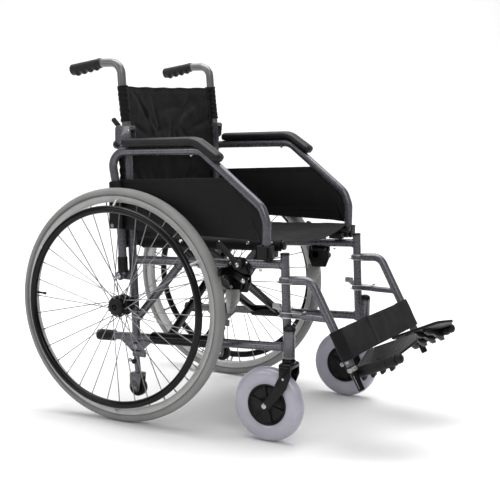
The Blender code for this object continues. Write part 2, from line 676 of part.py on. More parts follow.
# ---------------------------------------------------------------- the chair
for side, word in ((-1, "right"), (1, "left")):
    side_frame(side, word)
    tipping_grip(side, word)
    armrest_socket(side, word)
    transit_bracket(side, word)
    transit_wheel(side, word)
    axle(side, word)
    axle_button(side, word)
    rear_tyre(side, word)
    rear_wheel(side, word)
    handrim(side, word)
    castor(side, word)
    brake(side, word)
    armrest(side, word)
    upper_back(side, word)
    legrest(side, word)
    footplate(side, word)
    calf_strap(side, word)

back_panels()
brace("brace_a", -1, 0.0)
brace("brace_b", 1, BRACE_STEP)
seat()
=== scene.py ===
"""Looks of the folding wheelchair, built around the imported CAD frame.

Lengths are in millimetres from the rear axle (y) and the floor (z), as in the design;
`Shape.finish` turns them into metres in the frame's own coordinates.
"""
import math

import bmesh
import bpy
from mathutils import Matrix, Vector, noise


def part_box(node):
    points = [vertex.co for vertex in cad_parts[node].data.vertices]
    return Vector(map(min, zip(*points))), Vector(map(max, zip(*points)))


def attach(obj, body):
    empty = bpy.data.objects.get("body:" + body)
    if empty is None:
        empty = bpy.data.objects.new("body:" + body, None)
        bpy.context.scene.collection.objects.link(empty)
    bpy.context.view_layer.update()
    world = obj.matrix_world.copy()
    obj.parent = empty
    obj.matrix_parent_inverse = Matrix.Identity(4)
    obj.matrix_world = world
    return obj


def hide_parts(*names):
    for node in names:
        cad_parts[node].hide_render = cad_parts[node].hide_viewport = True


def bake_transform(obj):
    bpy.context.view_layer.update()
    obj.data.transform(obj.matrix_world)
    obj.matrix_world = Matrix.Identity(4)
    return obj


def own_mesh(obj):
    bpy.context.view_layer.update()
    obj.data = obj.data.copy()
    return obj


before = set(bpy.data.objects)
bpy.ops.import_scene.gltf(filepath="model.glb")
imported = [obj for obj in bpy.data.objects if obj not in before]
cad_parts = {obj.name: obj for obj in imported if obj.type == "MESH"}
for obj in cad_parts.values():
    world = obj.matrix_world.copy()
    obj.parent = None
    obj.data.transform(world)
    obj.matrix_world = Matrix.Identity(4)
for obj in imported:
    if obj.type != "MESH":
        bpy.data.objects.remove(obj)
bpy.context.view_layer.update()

MM = 0.001
TYRE_LOW, TYRE_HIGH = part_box("right_rear_tyre")
AXLE_SHIFT = (TYRE_LOW.y + TYRE_HIGH.y) / 2          # the rear axle's y in the frame
WHEEL_R = (TYRE_HIGH.z - TYRE_LOW.z) / 2 / MM
WHEEL_X = (TYRE_HIGH.x + TYRE_LOW.x) / -2 / MM
SIDES = ((-1, "right"), (1, "left"))

PITCH = math.radians(3.35)
TUBE_R = 11.0
FRAME_X = 230.0
ARMREST_X = 257.0
SEAT_RAIL_X = 205.0
HANDRIM_X = 326.0
HANDRIM_R = 253.0
CASTOR_X = 246.0
CASTOR_Y = -462.0
CASTOR_TRAIL = 51.0
CASTOR_R = 94.0
RAIL_Z = 212.0
UPPER_H = 205.0
POST_S = 451.5
REAR_S = 9.5
POST_TOP_H = 540.0
SPLIT_H = 504.0
SLEEVE_TOP_H = 657.0
SEAT_H = 249.0
ARM_PIVOT = (22.0, 378.0)
BACK_PIVOT = (46.0, 716.0)
BRAKE_PIVOT = (-322.0, 436.0)
SHOE_PIVOT = (-340.0, 398.0)
BARREL_REAR = Vector((0, -622.0, 190.0))
BARREL_FRONT = Vector((0, -722.0, 236.0))
BARREL_X = 200.0
TRANSIT_AXLE = (-16.0, 79.0)
HANGER_BEND = Vector((0, -510.0, 409.0))
HANGER_END = Vector((0, -619.0, 212.0))
PLATE_BOLT_Y = -494.0                                # bolt through the latch plates

FORWARD = Vector((0, -math.cos(PITCH), math.sin(PITCH)))
UPWARD = Vector((0, math.sin(PITCH), math.cos(PITCH)))
X_AXIS = Vector((1, 0, 0))
Z_AXIS = Vector((0, 0, 1))


def on_frame(x, s, h):
    """Point s forward along the pitched lower rail and h above it, at x across."""
    return Vector((x, 0, RAIL_Z)) + FORWARD * s + UPWARD * h


def metres(point):
    """The same point in the frame's own coordinates."""
    return (point[0] * MM, point[1] * MM + AXLE_SHIFT, point[2] * MM)


# ---------------------------------------------------------------- materials
class Paint:
    """A Principled material with procedural layers.

    A layer's source is (scale, detail) for noise, one whole number for round cells, or a socket.
    """

    def __init__(self, name, colour, roughness, metallic=0.0, **sockets):
        self.name = name
        self.mat = bpy.data.materials.new(name)
        self.mat.use_nodes = True
        self.nodes = self.mat.node_tree.nodes
        self.links = self.mat.node_tree.links
        self.shader = self.nodes["Principled BSDF"]
        self.colour = (*colour, 1.0)
        self.shader.inputs["Base Color"].default_value = self.colour
        self.shader.inputs["Roughness"].default_value = roughness
        self.shader.inputs["Metallic"].default_value = metallic
        for socket, value in sockets.items():
            self.shader.inputs[socket.replace("_", " ")].default_value = value
        self.roughness = roughness
        self.height = None
        self.coordinates = self.nodes.new("ShaderNodeTexCoord")

    def layer(self, source):
        if isinstance(source, tuple):
            tex = self.nodes.new("ShaderNodeTexNoise")
            tex.inputs["Scale"].default_value = source[0]
            tex.inputs["Detail"].default_value = source[1]
        elif isinstance(source, int):
            tex = self.nodes.new("ShaderNodeTexVoronoi")
            tex.inputs["Scale"].default_value = source
        else:
            return source
        self.links.new(self.coordinates.outputs["Object"], tex.inputs["Vector"])
        return tex.outputs["Fac" if isinstance(source, tuple) else "Distance"]

    def weave(self, pitch):
        """Over-and-under threads along the piece's own UV directions, in metres."""
        uv = self.nodes.new("ShaderNodeUVMap")
        split = self.nodes.new("ShaderNodeSeparateXYZ")
        self.links.new(uv.outputs["UV"], split.inputs["Vector"])
        waves = []
        for axis in ("X", "Y"):
            scaled = self.maths("MULTIPLY", split.outputs[axis], 2 * math.pi / pitch)
            waves.append(self.maths("SINE", scaled))
        return self.maths("MULTIPLY", waves[0], waves[1])

    def maths(self, operation, first, second=None):
        node = self.nodes.new("ShaderNodeMath")
        node.operation = operation
        for socket, value in zip(node.inputs, (first, second)):
            if value is None:
                continue
            if isinstance(value, (int, float)):
                socket.default_value = value
            else:
                self.links.new(value, socket)
        return node.outputs[0]

    def tint(self, source, dark, light, low=0.35, high=0.65):
        """Vary the base colour between two multiples of itself."""
        ramp = self.nodes.new("ShaderNodeValToRGB")
        ramp.color_ramp.elements[0].position = low
        ramp.color_ramp.elements[1].position = high
        ramp.color_ramp.elements[0].color = [min(1, c * dark) for c in self.colour[:3]] + [1]
        ramp.color_ramp.elements[1].color = [min(1, c * light) for c in self.colour[:3]] + [1]
        self.links.new(self.layer(source), ramp.inputs["Fac"])
        self.links.new(ramp.outputs["Color"], self.shader.inputs["Base Color"])
        return self

    def rough(self, source, spread):
        """Vary the roughness about its own value."""
        ranged = self.nodes.new("ShaderNodeMapRange")
        ranged.inputs["To Min"].default_value = max(0.02, self.roughness - spread)
        ranged.inputs["To Max"].default_value = min(1.0, self.roughness + spread)
        self.links.new(self.layer(source), ranged.inputs["Value"])
        self.links.new(ranged.outputs["Result"], self.shader.inputs["Roughness"])
        return self

    def bump(self, source, distance, strength):
        """Add a layer of relief over those before it."""
        node = self.nodes.new("ShaderNodeBump")
        node.inputs["Strength"].default_value = strength
        node.inputs["Distance"].default_value = distance
        self.links.new(self.layer(source), node.inputs["Height"])
        if self.height:
            self.links.new(self.height, node.inputs["Normal"])
        self.height = node.outputs["Normal"]
        self.links.new(self.height, self.shader.inputs["Normal"])
        return self


def nylon(name, colour):
    cloth = Paint(name, colour, 0.62, Sheen_Weight=0.02, Sheen_Roughness=0.45, Specular_IOR_Level=0.17)
    cloth.tint((14, 5), 0.8, 1.35).bump((70, 4), 0.0012, 0.35)
    return cloth.bump(cloth.weave(0.0024), 0.0003, 0.6)


PAINTS = (
    Paint("frame_paint", (0.098, 0.098, 0.112), 0.28, 0.5, Coat_Weight=0.35, Coat_Roughness=0.12)
    .tint((26, 5), 0.9, 1.12).rough((140, 4), 0.05).bump((420, 2), 0.00004, 0.3),
    Paint("handle_paint", (0.14, 0.14, 0.142), 0.3, 0.5, Coat_Weight=0.25, Coat_Roughness=0.18)
    .tint((30, 5), 0.92, 1.08).rough((160, 4), 0.06),
    Paint("black_paint", (0.0025, 0.0025, 0.003), 0.2, Specular_IOR_Level=0.22)
    .tint((40, 4), 0.7, 1.5).rough((180, 4), 0.08).bump((500, 2), 0.00004, 0.25),
    Paint("black_plastic", (0.005, 0.005, 0.0055), 0.42, Specular_IOR_Level=0.25)
    .tint((60, 4), 0.75, 1.4).rough((300, 3), 0.08).bump((3200, 2), 0.0002, 0.4),
    Paint("grip_rubber", (0.008, 0.0075, 0.007), 0.5, Specular_IOR_Level=0.3)
    .tint((80, 4), 0.8, 1.5).bump(1600, 0.0003, 0.5),
    Paint("panel_plastic", (0.007, 0.007, 0.0074), 0.5, Specular_IOR_Level=0.17)
    .tint((22, 5), 0.88, 1.15).rough((90, 4), 0.06).bump(900, 0.00025, 0.35),
    Paint("tyre_rubber", (0.23, 0.23, 0.226), 0.7)
    .tint((12, 6), 0.88, 1.08, 0.3, 0.7).rough((120, 4), 0.08).bump((1800, 3), 0.0003, 0.35),
    Paint("castor_rubber", (0.37, 0.36, 0.42), 0.3, Coat_Weight=0.6, Coat_Roughness=0.12)
    .tint((18, 5), 0.93, 1.05).rough((90, 4), 0.07),
    Paint("rim_alloy", (0.46, 0.46, 0.455), 0.4, 0.3).tint((35, 4), 0.93, 1.05).rough((200, 3), 0.06),
    Paint("bright_steel", (0.5, 0.505, 0.52), 0.24, 1.0).tint((120, 4), 0.85, 1.05).rough((500, 3), 0.08),
    Paint("spoke_steel", (0.27, 0.27, 0.28), 0.34, 0.85).tint((150, 4), 0.8, 1.25).rough((400, 3), 0.08),
    Paint("galvanised", (0.31, 0.31, 0.3), 0.36, 0.7).tint(240, 0.75, 1.15, 0.1, 0.6).rough((200, 3), 0.1),
    Paint("thread", (0.02, 0.02, 0.021), 0.7).tint((300, 3), 0.8, 1.3),
    Paint("pad_skin", (0.006, 0.006, 0.0064), 0.38, Specular_IOR_Level=0.3)
    .tint((20, 5), 0.8, 1.3).rough((60, 4), 0.07).bump(700, 0.0003, 0.4),
    nylon("nylon", (0.0034, 0.0034, 0.0037)), nylon("webbing", (0.0045, 0.0045, 0.005)),
    Paint("floor", (0.86, 0.86, 0.86), 0.9).tint((1.2, 2), 0.995, 1.0),
)
LOOK = {paint.name: paint.mat for paint in PAINTS}


# ---------------------------------------------------------------- shape tools
def any_normal(along):
    if abs(along.x) < 0.9:
        return (X_AXIS - along * along.x).normalized()
    return along.orthogonal().normalized()


def rounded_path(points, bend):
    points = [Vector(p) for p in points]
    path = [points[0]]
    for before, corner, after in zip(points, points[1:], points[2:]):
        a = (before - corner).normalized()
        b = (after - corner).normalized()
        turn = math.pi - a.angle(b)
        if turn < 0.02:
            path.append(corner)
            continue
        reach = min(bend * math.tan(turn / 2), 0.48 * (before - corner).length,
                    0.48 * (after - corner).length)
        radius = reach / math.tan(turn / 2)
        centre = corner + (a + b).normalized() * (radius / math.cos(turn / 2))
        start = corner + a * reach - centre
        axis = start.cross(corner + b * reach - centre)
        steps = max(3, math.ceil(turn / math.radians(7)))
        path += [centre + Matrix.Rotation(turn * i / steps, 3, axis) @ start
                 for i in range(steps + 1)]
    return path + [points[-1]]


def ring(wide, tall, count):
    """Points round an oval."""
    return [(wide * math.cos(2 * math.pi * k / count), tall * math.sin(2 * math.pi * k / count))
            for k in range(count)]


def radial(turn):
    """Direction at an angle round an axle."""
    return Vector((0, math.cos(turn), math.sin(turn)))


class Shape:
    """Collects closed shells in millimetres, then becomes one object."""

    def __init__(self):
        self.bm = bmesh.new()
        self.uv = self.bm.loops.layers.uv.new("UVMap")

    def sweep(self, path, section, closed=False):
        """section(i, t) gives (normal offset, side offset) pairs at each path point."""
        bm = self.bm
        rings = []
        count = len(path)
        normal = any_normal((path[1] - path[0]).normalized())
        for i, centre in enumerate(path):
            ahead = path[(i + 1) % count if closed else min(i + 1, count - 1)]
            behind = path[i - 1 if closed else max(i - 1, 0)]
            along = (ahead - behind).normalized()
            normal = (normal - along * normal.dot(along)).normalized()
            side = along.cross(normal)
            rings.append([bm.verts.new(centre + normal * a + side * b)
                          for a, b in section(i, i / (count - 1))])
        pairs = list(zip(rings, rings[1:]))
        if closed:
            pairs.append((rings[-1], rings[0]))
        for near, far in pairs:
            sides = len(near)
            for k in range(sides):
                n = (k + 1) % sides
                bm.faces.new((near[k], near[n], far[n], far[k]))
        if not closed:
            bm.faces.new(rings[0])
            bm.faces.new(rings[-1])
        return self

    def pipe(self, points, radius, bend=40.0, sides=28, soft=1.0):
        """Round tube along a path, its ends slightly rounded."""
        path = rounded_path(points, bend)
        first = (path[1] - path[0]).normalized()
        last = (path[-1] - path[-2]).normalized()
        path = [path[0], path[0] + first * soft] + path[1:-1] + [path[-1] - last * soft, path[-1]]
        radii = [radius - soft] + [radius] * (len(path) - 2) + [radius - soft]
        return self.sweep(path, lambda i, t: ring(radii[i], radii[i], sides))

    def stitch(self, start, end, lift, radius):
        """One stitch, lifted off the cloth it lies on."""
        return self.pipe((Vector(start) + lift, Vector(end) + lift), radius, sides=6, soft=0.2)

    def lathe(self, profile, centre, axis=X_AXIS, segments=64, closed=False, wobble=None):
        """Spin an (axial, radial) profile; wobble(k, j) scales the radius of a point."""
        bm = self.bm
        centre = Vector(centre)
        axis = Vector(axis).normalized()
        first = any_normal(axis)
        second = axis.cross(first)
        rings = []
        for j, (axial, radial) in enumerate(profile):
            if radial < 1e-6:
                rings.append([bm.verts.new(centre + axis * axial)])
                continue
            ring = []
            for k in range(segments):
                turn = 2 * math.pi * k / segments
                out = first * math.cos(turn) + second * math.sin(turn)
                scale = wobble(k, j) if wobble else 1.0
                ring.append(bm.verts.new(centre + axis * axial + out * radial * scale))
            rings.append(ring)
        pairs = list(zip(rings, rings[1:]))
        if closed:
            pairs.append((rings[-1], rings[0]))
        for near, far in pairs:
            for k in range(segments):
                n = (k + 1) % segments
                if len(near) == 1:
                    bm.faces.new((near[0], far[n], far[k]))
                elif len(far) == 1:
                    bm.faces.new((near[k], near[n], far[0]))
                else:
                    bm.faces.new((near[k], near[n], far[n], far[k]))
        return self

    def bead(self, centre, axis, radius, thickness=1.6):
        """Weld bead or band: a ring around a tube."""
        section = [(thickness * math.cos(math.pi * k / 4), radius + thickness * math.sin(math.pi * k / 4))
                   for k in range(8)]
        return self.lathe(section, centre, axis, 32, closed=True)

    def slab(self, outline, thickness, origin, across, up, bevel=1.0, segments=2):
        """A plate with rounded edges, centred on its plane."""
        across = Vector(across).normalized()
        up = Vector(up).normalized()
        out = across.cross(up).normalized() * (thickness / 2)
        bm = bmesh.new()
        faces = [[bm.verts.new(Vector(origin) + across * a + up * b + out * sign) for a, b in outline]
                 for sign in (-1, 1)]
        count = len(outline)
        caps = [bm.faces.new(faces[0]), bm.faces.new(faces[1])]
        for k in range(count):
            n = (k + 1) % count
            bm.faces.new((faces[0][k], faces[0][n], faces[1][n], faces[1][k]))
        bmesh.ops.recalc_face_normals(bm, faces=bm.faces)
        if bevel > 0:
            rims = list({e for f in caps for e in f.edges})
            bmesh.ops.bevel(bm, geom=rims, offset=bevel, segments=segments, profile=0.5,
                            affect="EDGES", clamp_overlap=True)
        self.merge(bm)
        return self

    def side_slab(self, outline, x, thickness, bevel=1.0):
        return self.slab(outline, thickness, (x, 0, 0), (0, 1, 0), Z_AXIS, bevel)

    def brick(self, low, high, bevel=1.5):
        bm = bmesh.new()
        size = [abs(b - a) for a, b in zip(low, high)]
        middle = [(a + b) / 2 for a, b in zip(low, high)]
        bmesh.ops.create_cube(bm, size=1.0)
        bm.transform(Matrix.Translation(middle) @ Matrix.Diagonal((*size, 1)))
        bmesh.ops.bevel(bm, geom=list(bm.edges), offset=bevel, segments=3, profile=0.5,
                        affect="EDGES", clamp_overlap=True)
        self.merge(bm)
        return self

    def merge(self, other):
        mesh = bpy.data.meshes.new("part")
        other.to_mesh(mesh)
        other.free()
        self.bm.from_mesh(mesh)
        bpy.data.meshes.remove(mesh)

    def bolt(self, centre, axis, radius=4.0, height=2.6):
        """Domed screw head with a washer and a socket."""
        r = radius
        return self.lathe(((0, 0), (0, r * 1.35), (0.8, r * 1.35), (0.8, r), (height * 0.6, r * 0.96),
                           (height, r * 0.7), (height, r * 0.42), (height * 0.45, r * 0.38),
                           (height * 0.45, 0)), centre, axis, 20)

    def grid(self, width, length, place, thickness, cols, rows):
        """A sheet: place(u, v) gives a point; it gets a back face and closed edges."""
        bm = self.bm
        front = [[Vector(place(i / cols, j / rows)) for i in range(cols + 1)] for j in range(rows + 1)]
        normals = []
        for j in range(rows + 1):
            line = []
            for i in range(cols + 1):
                du = front[j][min(i + 1, cols)] - front[j][max(i - 1, 0)]
                dv = front[min(j + 1, rows)][i] - front[max(j - 1, 0)][i]
                line.append(du.cross(dv).normalized())
            normals.append(line)
        layers = [[[bm.verts.new(front[j][i] + normals[j][i] * off) for i in range(cols + 1)]
                   for j in range(rows + 1)] for off in (thickness / 2, -thickness / 2)]

        def quad(corners, uvs):
            face = bm.faces.new(corners)
            for loop, uv in zip(face.loops, uvs):
                loop[self.uv].uv = uv
        for layer in layers:
            for j in range(rows):
                for i in range(cols):
                    uvs = [(a / cols * width * MM, b / rows * length * MM)
                           for a, b in ((i, j), (i + 1, j), (i + 1, j + 1), (i, j + 1))]
                    quad((layer[j][i], layer[j][i + 1], layer[j + 1][i + 1], layer[j + 1][i]), uvs)
        rim = ([(i, 0) for i in range(cols)] + [(cols, j) for j in range(rows)]
               + [(i, rows) for i in range(cols, 0, -1)] + [(0, j) for j in range(rows, 0, -1)])
        for (i, j), (m, n) in zip(rim, rim[1:] + rim[:1]):
            a, b = layers
            bm.faces.new((a[j][i], a[n][m], b[n][m], b[j][i]))
        return self

    def finish(self, name, look, body, replaces=(), sharp=40, ride=True):
        bm = self.bm
        bmesh.ops.recalc_face_normals(bm, faces=bm.faces)
        bm.transform(Matrix.Translation((0, AXLE_SHIFT, 0)) @ Matrix.Scale(MM, 4))
        mesh = bpy.data.meshes.new(name)
        bm.to_mesh(mesh)
        bm.free()
        mesh.materials.append(LOOK[look])
        mesh.shade_smooth()
        mesh.set_sharp_from_angle(angle=math.radians(sharp))
        obj = bpy.data.objects.new(name, mesh)
        bpy.context.scene.collection.objects.link(obj)
        if ride:
            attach(obj, body)
        if replaces:
            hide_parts(*replaces)
        return obj


def arc(centre, radius, start, end, steps):
    points = []
    for i in range(steps + 1):
        turn = math.radians(start + (end - start) * i / steps)
        points.append((centre[0] + radius * math.cos(turn), centre[1] + radius * math.sin(turn)))
    return points


def fuzz(x, y, z, scale, amount):
    return noise.noise(Vector((x, y, z)) / scale) * amount


def folds(x, y, ridges):
    """Height of a few soft creases: (centre x, centre y, direction, length, width, height)."""
    total = 0.0
    for cx, cy, angle, length, width, height in ridges:
        turn = math.radians(angle)
        along = (x - cx) * math.cos(turn) + (y - cy) * math.sin(turn)
        across = (y - cy) * math.cos(turn) - (x - cx) * math.sin(turn)
        across += 6.0 * math.sin(along / 30.0)
        total += 1.5 * height * math.exp(-(along / length) ** 2 - (across / width) ** 2)
    return total


BACK_FOLDS = (
    (-125, 112, -38, 70, 8, 3.2), (-100, 84, -50, 62, 7, -2.6), (-60, 92, -66, 50, 8, 2.6),
    (70, 92, 58, 60, 8, 2.8), (112, 104, 36, 74, 8, -2.8), (142, 66, 24, 56, 8, 2.6),
    (12, 44, 84, 40, 6, 2.8), (-16, 34, 76, 34, 6, -2.2), (34, 26, 104, 34, 6, 2.2),
    (-158, 62, -14, 46, 9, 2.4), (40, 120, 12, 80, 9, 2.0), (-40, 58, 20, 60, 9, 2.2),
    (92, 34, -28, 52, 8, 2.2), (-100, 24, 30, 56, 8, -2.2), (170, 24, 70, 40, 7, 2.0))
SEAT_FOLDS = (
    (-120, 330, 20, 90, 13, 3.4), (-60, 300, -30, 80, 12, -2.6), (60, 320, 28, 90, 12, 3.0),
    (130, 260, -16, 80, 13, 2.8), (0, 180, 8, 110, 14, 2.6), (-130, 160, -24, 80, 12, 2.6),
    (120, 90, 30, 90, 13, -2.6), (20, 370, 4, 120, 10, -2.8), (-90, 60, 14, 90, 12, 2.6))


# ---------------------------------------------------------------- side frames
def side_frame(side, word):
    """Welded side frame with its castor housing, end caps and screws."""
    x = side * FRAME_X
    body = word + "_frame"
    tubes = Shape()
    tubes.pipe((on_frame(x, -58, 0), on_frame(x, POST_S, 0)), TUBE_R)
    tubes.pipe((on_frame(x, REAR_S, UPPER_H), on_frame(x, POST_S, UPPER_H)), TUBE_R)
    tubes.pipe((on_frame(x, POST_S, -13), on_frame(x, POST_S, 229)), TUBE_R)
    tubes.pipe((on_frame(x, REAR_S, -13), on_frame(x, REAR_S, POST_TOP_H)), TUBE_R)
    low, high = on_frame(x, REAR_S + 2, 46), on_frame(x, 158, UPPER_H - 3)
    tubes.pipe((low, high), TUBE_R - 0.5)
    slope = (high - low).normalized()
    for s in (POST_S - 12, REAR_S + 12):
        for h in (0, UPPER_H):
            tubes.bead(on_frame(x, s, h), FORWARD, TUBE_R)
    for centre in (low + slope * 15, high - slope * 17):
        tubes.bead(centre, slope, TUBE_R - 0.5)
    tubes.lathe(((-35, 0), (-35, 12.5), (-34, 15), (-28, 15.4), (-27, 15), (27, 15), (28, 15.4), (34, 15),
                 (35, 13), (35, 0)), (side * CASTOR_X, CASTOR_Y, 250), Z_AXIS, 40)
    for h in (-6, 26):
        tubes.brick((side * 232, CASTOR_Y + 2, 234 + h), (side * 244, CASTOR_Y + 14, 240 + h), 2)
    tubes.side_slab(((34, 206), (34, 197), (2, 172), (-24, 174), (-60, 206)), x, 8, 1.2)
    tubes.brick((side * 226, -38, 160), (side * 234, 2, 180), 2)
    tubes.brick((side * 228, -7, 366), (side * 249, 32, 391), 2.5)
    tubes.side_slab([(10, 696)] + arc(BACK_PIVOT, 12, -65, 95, 10) + [(10, 732)], x, 19, 3)
    tubes.finish(word + "_frame_tubes", "frame_paint", body, (word + "_side_frame",))

    caps = Shape()
    top = on_frame(x, POST_S, 229)
    caps.lathe(((-6, 0), (-6, 10), (0, 10.6), (0, 11.6), (3, 11.6), (4.2, 10.5), (4.6, 0)), top, UPWARD, 28)
    caps.lathe(((0, 0), (0, 15.4), (3, 15.6), (6.5, 14.4), (9.5, 11.4), (11.6, 7), (12.4, 0)),
               (side * CASTOR_X, CASTOR_Y, 285), Z_AXIS, 32)
    caps.lathe(((-2, 0), (-2, 11.2), (0, 11.6), (2.4, 11), (3, 9), (3, 0)), on_frame(x, REAR_S, -14),
               -UPWARD, 28)
    caps.lathe(((-15, 0), (-15, 6), (-13.4, 7), (-10.4, 7), (-10.4, 4.2), (10.4, 4.2), (10.4, 7), (13.4, 7),
                (15, 6), (15, 0)), (x, *BACK_PIVOT), X_AXIS, 24)
    caps.finish(word + "_frame_caps", "black_plastic", body)

    steel = Shape()
    out = Vector((side, 0, 0))
    for y, z in ((-44, 212), (-8, 186), (7, 149)):
        steel.bolt((side * (FRAME_X + 4), y, z), out, 4.2)
    steel.lathe(((0, 0), (0, 5), (20, 5), (20, 7.5), (23.5, 7.5), (24.5, 6), (24.5, 0)),
                (side * 246, *ARM_PIVOT), out, 24)
    steel.bolt((side * FRAME_X, -372, 424.5), (0, 0, -1), 3.4, 5)
    steel.finish(word + "_frame_bolts", "bright_steel", body)


def tipping_grip(side, word):
    """Ribbed rubber on the rear end of the lower rail."""
    x = side * FRAME_X
    profile = [(0, 0), (0, 12.5), (1.5, 14.3)]
    for k in range(7):
        start = 4 + k * 6.5
        profile += [(start, 14.6), (start + 3.2, 14.6), (start + 3.8, 13.6), (start + 5.8, 13.6)]
    profile += [(50, 14.6), (54, 13.6), (56, 10), (56, 0)]
    Shape().lathe(profile, on_frame(x, -57, 0), -FORWARD, 32).finish(
        word + "_tipping_rubber", "grip_rubber", word + "_frame", (word + "_tipping_grip",))


def armrest_socket(side, word):
    """Moulded cradle: the armrest foot drops into its cup, the seat rail on its saddle."""
    s = side
    block = Shape()
    block.brick((s * 230, -410, 456), (s * 246.5, -379, 482), 3)
    block.brick((s * 244, -416, 455.5), (s * 273, -379, 460.5), 2)
    block.brick((s * 244, -416, 456), (s * 273, -409, 489), 2)
    block.brick((s * 244, -385, 456), (s * 273, -379, 489), 2)
    block.brick((s * 268.6, -416, 456), (s * 273, -379, 489), 1.6)
    saddle = [(-404, 455), (-368, 455), (-368, 472), (-374, 472.5), (-398, 473), (-404, 472)]
    block.side_slab(saddle, s * 209, 27, 2)
    block.brick((s * 220, -402, 456), (s * 232, -370, 468), 3)
    block.finish(word + "_socket_moulding", "black_plastic", word + "_frame", (word + "_armrest_socket",))


def transit_wheels(side, word):
    """Small roller that hangs in a fork under the rear post."""
    x = side * FRAME_X
    steel = Shape()
    steel.pipe(((x, -9, 165), (x, -15, 116)), 8, sides=24)
    steel.brick((x - 14, -31, 107), (x + 14, 3, 118), 2.5)
    for offset in (-12.5, 12.5):
        outline = [(4, 114), (-31, 114), (-28, 80)] + arc(TRANSIT_AXLE, 12, 190, 350, 10) + [(1, 80)]
        steel.side_slab(outline, x + offset, 3.2, 0.8)
    steel.finish(word + "_transit_fork", "frame_paint", word + "_frame", (word + "_transit_bracket",))
    knob = Shape()
    knob.lathe(((0, 0), (0, 5), (5, 6.5), (9, 6.5), (11, 5), (11, 0)), (side * (FRAME_X + 7), -10.5, 149),
               (side, 0, 0), 24)
    knob.finish(word + "_transit_knob", "black_plastic", word + "_frame")
    bolt = Shape()
    bolt.lathe(((-17, 0), (-17, 4), (-14.4, 5.2), (14.4, 5.2), (17, 4), (17, 0)), (x, *TRANSIT_AXLE),
               X_AXIS, 20)
    bolt.finish(word + "_transit_bolt", "bright_steel", word + "_frame")
    wheel = Shape()
    wheel.lathe(((-9, 5.6), (-9, 13), (-7, 14), (-7, 19), (-9, 21), (-6.5, 24.2), (0, 24.6), (6.5, 24.2),
                 (9, 21), (7, 19), (7, 14), (9, 13), (9, 5.6)), (x, *TRANSIT_AXLE), X_AXIS, 40, closed=True)
    wheel.finish(word + "_transit_roller", "black_plastic", word + "_transit_wheel",
                 (word + "_transit_wheel",))


# ---------------------------------------------------------------- rear wheels
TREAD_STEPS = 432                                    # points round the tyre, three to a notch


def tread(k, j):
    """Notches along both shoulders of the tyre."""
    return 0.9948 if k % 3 == 0 and j in (8, 9, 15, 16) else 1.0


def tyre_profile(half, inner, outer):
    """Round-shouldered section with a rim bead groove on each side."""
    points = [(-half * 0.68, inner), (-half * 0.66, inner + 3.2), (-half * 0.8, inner + 4.6)]
    steps = 16
    for i in range(steps + 1):
        turn = math.pi * (1.03 - 1.06 * i / steps)
        points.append((half * math.copysign(abs(math.cos(turn)) ** 0.8, math.cos(turn)),
                       inner + 7 + (outer - inner - 7) * max(0, math.sin(turn)) ** 0.85))
    points += [(half * 0.8, inner + 4.6), (half * 0.66, inner + 3.2), (half * 0.68, inner)]
    return points


